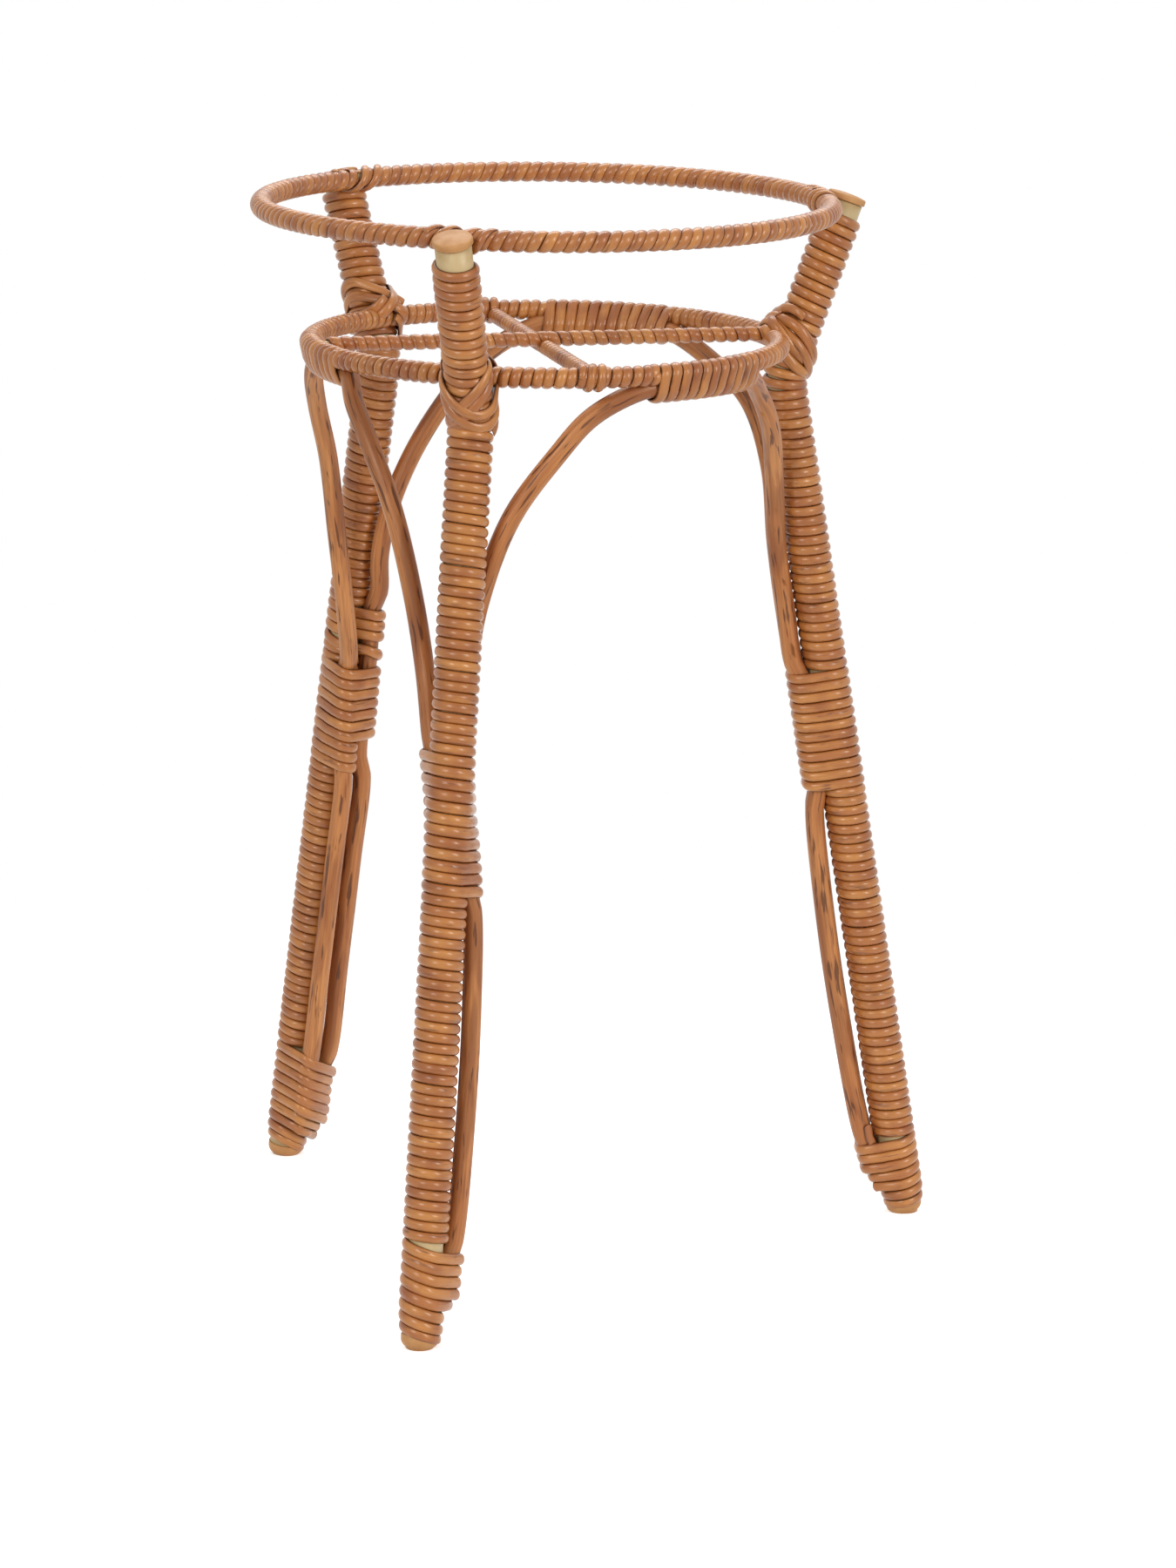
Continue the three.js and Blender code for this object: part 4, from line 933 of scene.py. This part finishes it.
def pared_bar(leg, sign, height):
    """A rod's pared foot end, and the stretch above it where the rod leaves its leg."""
    waist = rod_waist(height)
    leaving = clamped((height - foot_top(leg) + 2 * MM) / (11 * MM))
    reach = ROD_REACH - (1 - waist) * ROD_RADIUS + leaving * (CLEAR_REACH - ROD_REACH)
    return rod_bar(leg, sign, height, reach, ROD_RADIUS * waist)


def stub(leg):
    """The flat end of a foot binding's strand, which stands up out of its turns against the front rod."""
    steps, length, width, thick, round_from = 16, 13 * MM, 6.2 * MM, 2 * MM, 0.84
    stations = []
    for i in range(steps + 1):
        share = i / steps
        height = foot_end(leg) - 1 * MM + length * share
        place = leg_place(leg, height)
        bars = [pared_bar(leg, sign, height) for sign in (1, -1)]
        front = min(bars, key=lambda bar: (bar.point - place.origin).dot(place.side))
        out = place.out * 0.35 - place.side * 0.94
        tip = math.sqrt(max(0.0, 1 - max(0.0, (share - round_from) / 0.17) ** 2))
        point = front.point + out * (front.radius + 0.1 * MM)
        stations.append(Station(point, out, width * (0.35 + 0.65 * tip), thick))
    wound(f"foot_stub_{leg.name}", stations, 158.0, BAR_STRAND, f"foot_binding_{leg.name}")


def mid_binding(leg, index):
    """The strand that holds both rods to the leg halfway up. On one leg its last turns jump to one rod."""
    start = leg_place(leg, leg.mid_low + leg.mid_pitch / 2)
    tube = Bar(start.origin, start.up, TUBE_RADIUS)
    main = leg.mid_turns - 1
    early = first_turn(leg)

    def held(turn):
        height = leg.mid_low + leg.mid_pitch * math.cos(SPLAY) * (turn + 0.5)
        if leg.solo_turns and turn > main:
            return [tube, rod_bar(leg, -1, height)]
        if leg.solo_turns and turn < 1.8:
            return [tube, rod_bar(leg, 1, height)]
        return [tube, rod_bar(leg, 1, height), rod_bar(leg, -1, height)]

    stations = round_bundle(start, start.out, start.side, held, lambda turn: mid_climb(leg, turn), early,
                            main + leg.solo_turns + 1 + early, leg.mid_pitch, WRAP_HAND, MID_BEGIN, GAP,
                            130 + index)
    wound(f"mid_turns_{leg.name}", stations, 140.0 + index, STRAND, f"mid_binding_{leg.name}")

    if leg.solo_turns:
        under = mid_end(leg, leg.mid_turns - 1)
        stations = round_leg(leg, under, under + (SOLO_JUMP + 1) * leg.mid_pitch, 3, 136 + index)
        wound(f"jump_turns_{leg.name}", stations, 146.0 + index, STRAND, f"mid_binding_{leg.name}")


def foot_binding(leg, index):
    """The strand round a foot. It starts on the foot cap's brim and climbs over the rods' pared ends."""
    if leg.hand > 0:
        stub(leg)
    low = leg_place(leg, FOOT_BINDING + FOOT_PITCH / 2)
    tube = Bar(low.origin, low.up, TUBE_RADIUS)
    brim = Bar(low.origin, low.up, TUBE_RADIUS + 0.3 * MM)
    free = (ROD_FOOT - FOOT_BINDING) / (FOOT_PITCH * math.cos(SPLAY)) - 1.1
    e1, e2 = leant(low, leg.foot_tilt)

    def held(turn):
        if turn < 0.4:
            return [brim]
        if turn < free:
            return [tube]
        height = FOOT_BINDING + FOOT_PITCH / 2 + leg.foot_lead * math.cos(SPLAY) * turn
        return [tube] + [pared_bar(leg, sign, height) for sign in (1, -1)]

    def climb(turn):
        return turn * (leg.foot_lead if turn > 0 else LOWEST_LEAD)

    stations = round_bundle(low, e1, e2, held, climb, -1, leg.foot_last, leg.foot_lead, leg.hand,
                            hidden_side(leg), 0.1 * MM, 150 + index)
    for i, station in enumerate(stations):
        swell = clamped((i / BUNDLE_STEPS - 0.3) / 1.6)
        thin = 0.42 + 0.58 * swell
        point = station.point.copy()
        point.z = max(point.z, LOWEST_TURN)
        stations[i] = Station(point, station.out, station.width * (0.5 + 0.5 * thin), station.thick * thin)
    wound(f"foot_turns_{leg.name}", stations, 160.0 + index, STRAND, f"foot_binding_{leg.name}")


# Shelf lashings of each leg, under and over: their rise and shift aside in millimetres, the tilt and dip of
# their turns in degrees, the number of turns, and how far they stand off in millimetres.
SHELF_LASHES = {
    "a": [(-1, 0, 38, 20, 2.0, 2.4), (-2, 0, -40, 22, 2.6, 3.6)],
    "b": [(0, -5, 48, 0, 2.0, 2.6), (9, 0, -33, 0, 2.0, 3.6)],
    "c": [(4, 0, 20, 30, 2.0, 2.6), (6, 0, -24, 38, 2.4, 3.6)],
}


def shelf_lashings(leg, index):
    """Slanting turns round a leg and the shelf ring on its inner side, in two crossing layers."""
    place = leaning_place(leg, upper_radius(SHELF_CONTACT), SHELF_CONTACT, FLARE)
    tube = Bar(place.origin, place.up, TUBE_RADIUS)
    for part, (rise, shift, tilt, dip, turns, lift) in enumerate(SHELF_LASHES[leg.name]):
        name = ("under", "over")[part]
        seed = 170 + 10 * part + index
        e1, e2 = leant(place, tilt * DEG, dip * DEG)
        normal = e1.cross(e2)
        wire = Bar(at(place, -WIRE_REACH, 0, 0), normal, RING_WIRE + RING_STRAND_THICK - 0.6 * MM)
        middle = Place(at(place, -WIRE_REACH / 2, shift * MM, rise * MM), place.out, place.side, normal)
        stations = round_bundle(middle, e1, e2, lambda turn: (tube, wire), lambda turn: LASH_PITCH * turn,
                                -turns / 2, turns / 2, LASH_PITCH * 1.2, 1, math.pi, lift * MM, seed,
                                LASH_STEPS)
        own = f"shelf_lashing_over_{leg.name}"
        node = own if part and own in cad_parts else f"shelf_lashing_{leg.name}"
        wound(f"shelf_lashing_{name}_turns_{leg.name}", stations, seed, STRAND, node)


def top_lashings(leg, index):
    """Two long slanting turns round the top ring where it meets a leg."""
    lead, width, thick, begin = 26 * MM, 5.6 * MM, 2.8 * MM, 2.2 * math.pi
    half = 0.6 * lead / TOP_RADIUS
    wire = RING_WIRE + RING_STRAND_THICK - 0.5 * MM
    for part, offset in enumerate((-5, 5)):
        middle = leg.azimuth + offset * MM / TOP_RADIUS
        stations = round_ring(TOP_CENTRE, TOP_RADIUS, middle - half, middle + half, lead, begin, width,
                              thick, 190 + index + 3 * part, wire)
        wound(f"top_lashing_turn_{leg.name}_{part + 1}", stations, 190.0 + index + part, STRAND,
              f"top_lashing_{leg.name}")


def bar_knots():
    """Two loops at each end of the bar between legs A and B, which tie it to the shelf ring."""
    half = (KNOT_PITCH * 1.5 / 2) / SHELF_RADIUS
    wire = RING_WIRE + RING_STRAND_THICK - 0.8 * MM
    for end in ("back", "out"):
        low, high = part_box(f"bar_wrap_y_{end}")
        far = high.y if end == "back" else low.y
        middle = math.atan2(far - SHELF_CENTRE.y, (low.x + high.x) / 2 - SHELF_CENTRE.x)
        for part in range(2):
            centre = middle + (part - 0.5) * 1.1 * KNOT_PITCH / SHELF_RADIUS
            stations = round_ring(SHELF_CENTRE, SHELF_RADIUS, centre - half, centre + half, KNOT_PITCH, 0.0,
                                  KNOT_PITCH, STRAND_THICK, 210 + part, wire)
            wound(f"bar_knot_{end}_{part + 1}", stations, 210.0 + part, STRAND, f"bar_wrap_y_{end}")


# ---------------- studio
CAMERA_PLACE = (-839.42 * MM, -3499.8 * MM, 1105.36 * MM)
CAMERA_HEADING = 13.96 * DEG
CAMERA_PITCH = 12.68 * DEG
CAMERA_ROLL = 0.64 * DEG
CAMERA_LENS = 134.23
FLOOR_GLOW = (0.55, 0.55, 0.55, 1)
WORLD_FILL = 0.42


def camera():
    data = bpy.data.cameras.new("camera")
    data.lens = CAMERA_LENS
    data.sensor_width = 36
    data.clip_start, data.clip_end = 0.1, 50
    cam = bpy.data.objects.new("camera", data)
    bpy.context.scene.collection.objects.link(cam)
    ahead = Vector((math.sin(CAMERA_HEADING) * math.cos(CAMERA_PITCH),
                    math.cos(CAMERA_HEADING) * math.cos(CAMERA_PITCH), -math.sin(CAMERA_PITCH)))
    right = Vector((math.cos(CAMERA_HEADING), -math.sin(CAMERA_HEADING), 0))
    up = right.cross(ahead)
    x = right * math.cos(CAMERA_ROLL) + up * math.sin(CAMERA_ROLL)
    y = up * math.cos(CAMERA_ROLL) - right * math.sin(CAMERA_ROLL)
    turn = Matrix((x, y, -ahead)).transposed().to_4x4()
    cam.matrix_world = Matrix.Translation(AXIS + Vector(CAMERA_PLACE)) @ turn
    bpy.context.scene.camera = cam


def softbox(name, place, aim, size, power):
    data = bpy.data.lights.new(name, "AREA")
    data.shape = "RECTANGLE"
    data.size, data.size_y = size
    data.energy = power
    lamp = bpy.data.objects.new(name, data)
    lamp.location = place
    lamp.rotation_euler = (Vector(aim) - Vector(place)).to_track_quat("-Z", "Y").to_euler()
    bpy.context.scene.collection.objects.link(lamp)


def seen_directly(g):
    """A mask of the rays that come from the camera or from a mirror or glass."""
    rays = g.add("ShaderNodeLightPath")
    seen = g.maths("MAXIMUM", rays.outputs["Is Camera Ray"], rays.outputs["Is Glossy Ray"])
    return g.maths("MAXIMUM", seen, rays.outputs["Is Transmission Ray"])


def white_world():
    """White behind the stand, and a weaker fill light from all sides."""
    world = bpy.data.worlds.new("studio")
    world.use_nodes = True
    g = Graph(world.node_tree)
    background = world.node_tree.nodes["Background"]
    fill = g.add("ShaderNodeMapRange", {"Value": seen_directly(g), "To Min": WORLD_FILL, "To Max": 1.0})
    background.inputs["Color"].default_value = (1, 1, 1, 1)
    g.feed(background, "Strength", fill.outputs["Result"])
    bpy.context.scene.world = world


def pale_floor():
    """A floor that glows to the camera, white but for a faint shadow, and fades out towards its rim."""
    bm = bmesh.new()
    bmesh.ops.create_grid(bm, x_segments=1, y_segments=1, size=3)
    floor = finished("floor", bm)
    material, g, shader = new_material("floor_white", {
        "Base Color": (0.9, 0.9, 0.9, 1), "Roughness": 0.9, "Specular IOR Level": 0.0,
        "Emission Strength": 1.0})
    g.feed(shader, "Emission Color", g.mix(seen_directly(g), (0, 0, 0, 1), FLOOR_GLOW))
    away = g.vector("SUBTRACT", g.add("ShaderNodeTexCoord").outputs["Object"], tuple(AXIS))
    away = g.add("ShaderNodeVectorMath", {0: away}, operation="LENGTH").outputs["Value"]
    g.feed(shader, "Alpha", g.maths("SUBTRACT", 1.0, g.ramp(away, 0.45, 0.95)))
    floor.data.materials.append(material)


def studio():
    white_world()
    pale_floor()
    softbox("left_softbox", (-1.9, -2.2, 1.7), (0, 0, 0.35), (1.0, 1.6), 29)
    softbox("right_softbox", (1.5, -2.4, 1.5), (0, 0, 0.35), (0.9, 1.6), 34)
    softbox("overhead_softbox", (0.2, 1.3, 2.4), (0, 0, 0.4), (1.8, 1.2), 26)
    bpy.context.scene.view_settings.view_transform = "Standard"


camera()
studio()
for number, leg in enumerate(LEGS):
    pipe(leg)
    top_cap(leg)
    foot_cap(leg)
    leg_windings(leg, number)
    mid_binding(leg, number)
    foot_binding(leg, number)
    shelf_lashings(leg, number)
    top_lashings(leg, number)
ring("top_ring", TOP_CENTRE, TOP_RADIUS, "top_hoop_wire")
ring("shelf_ring", SHELF_CENTRE, SHELF_RADIUS, "shelf_hoop_wire")
for one in ARCHES:
    arch(*one)
ring_windings()
bar_windings()
bar_knots()
for bar in "xy":
    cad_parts[f"cross_bar_{bar}"].data.materials.clear()
    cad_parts[f"cross_bar_{bar}"].data.materials.append(PAINT)
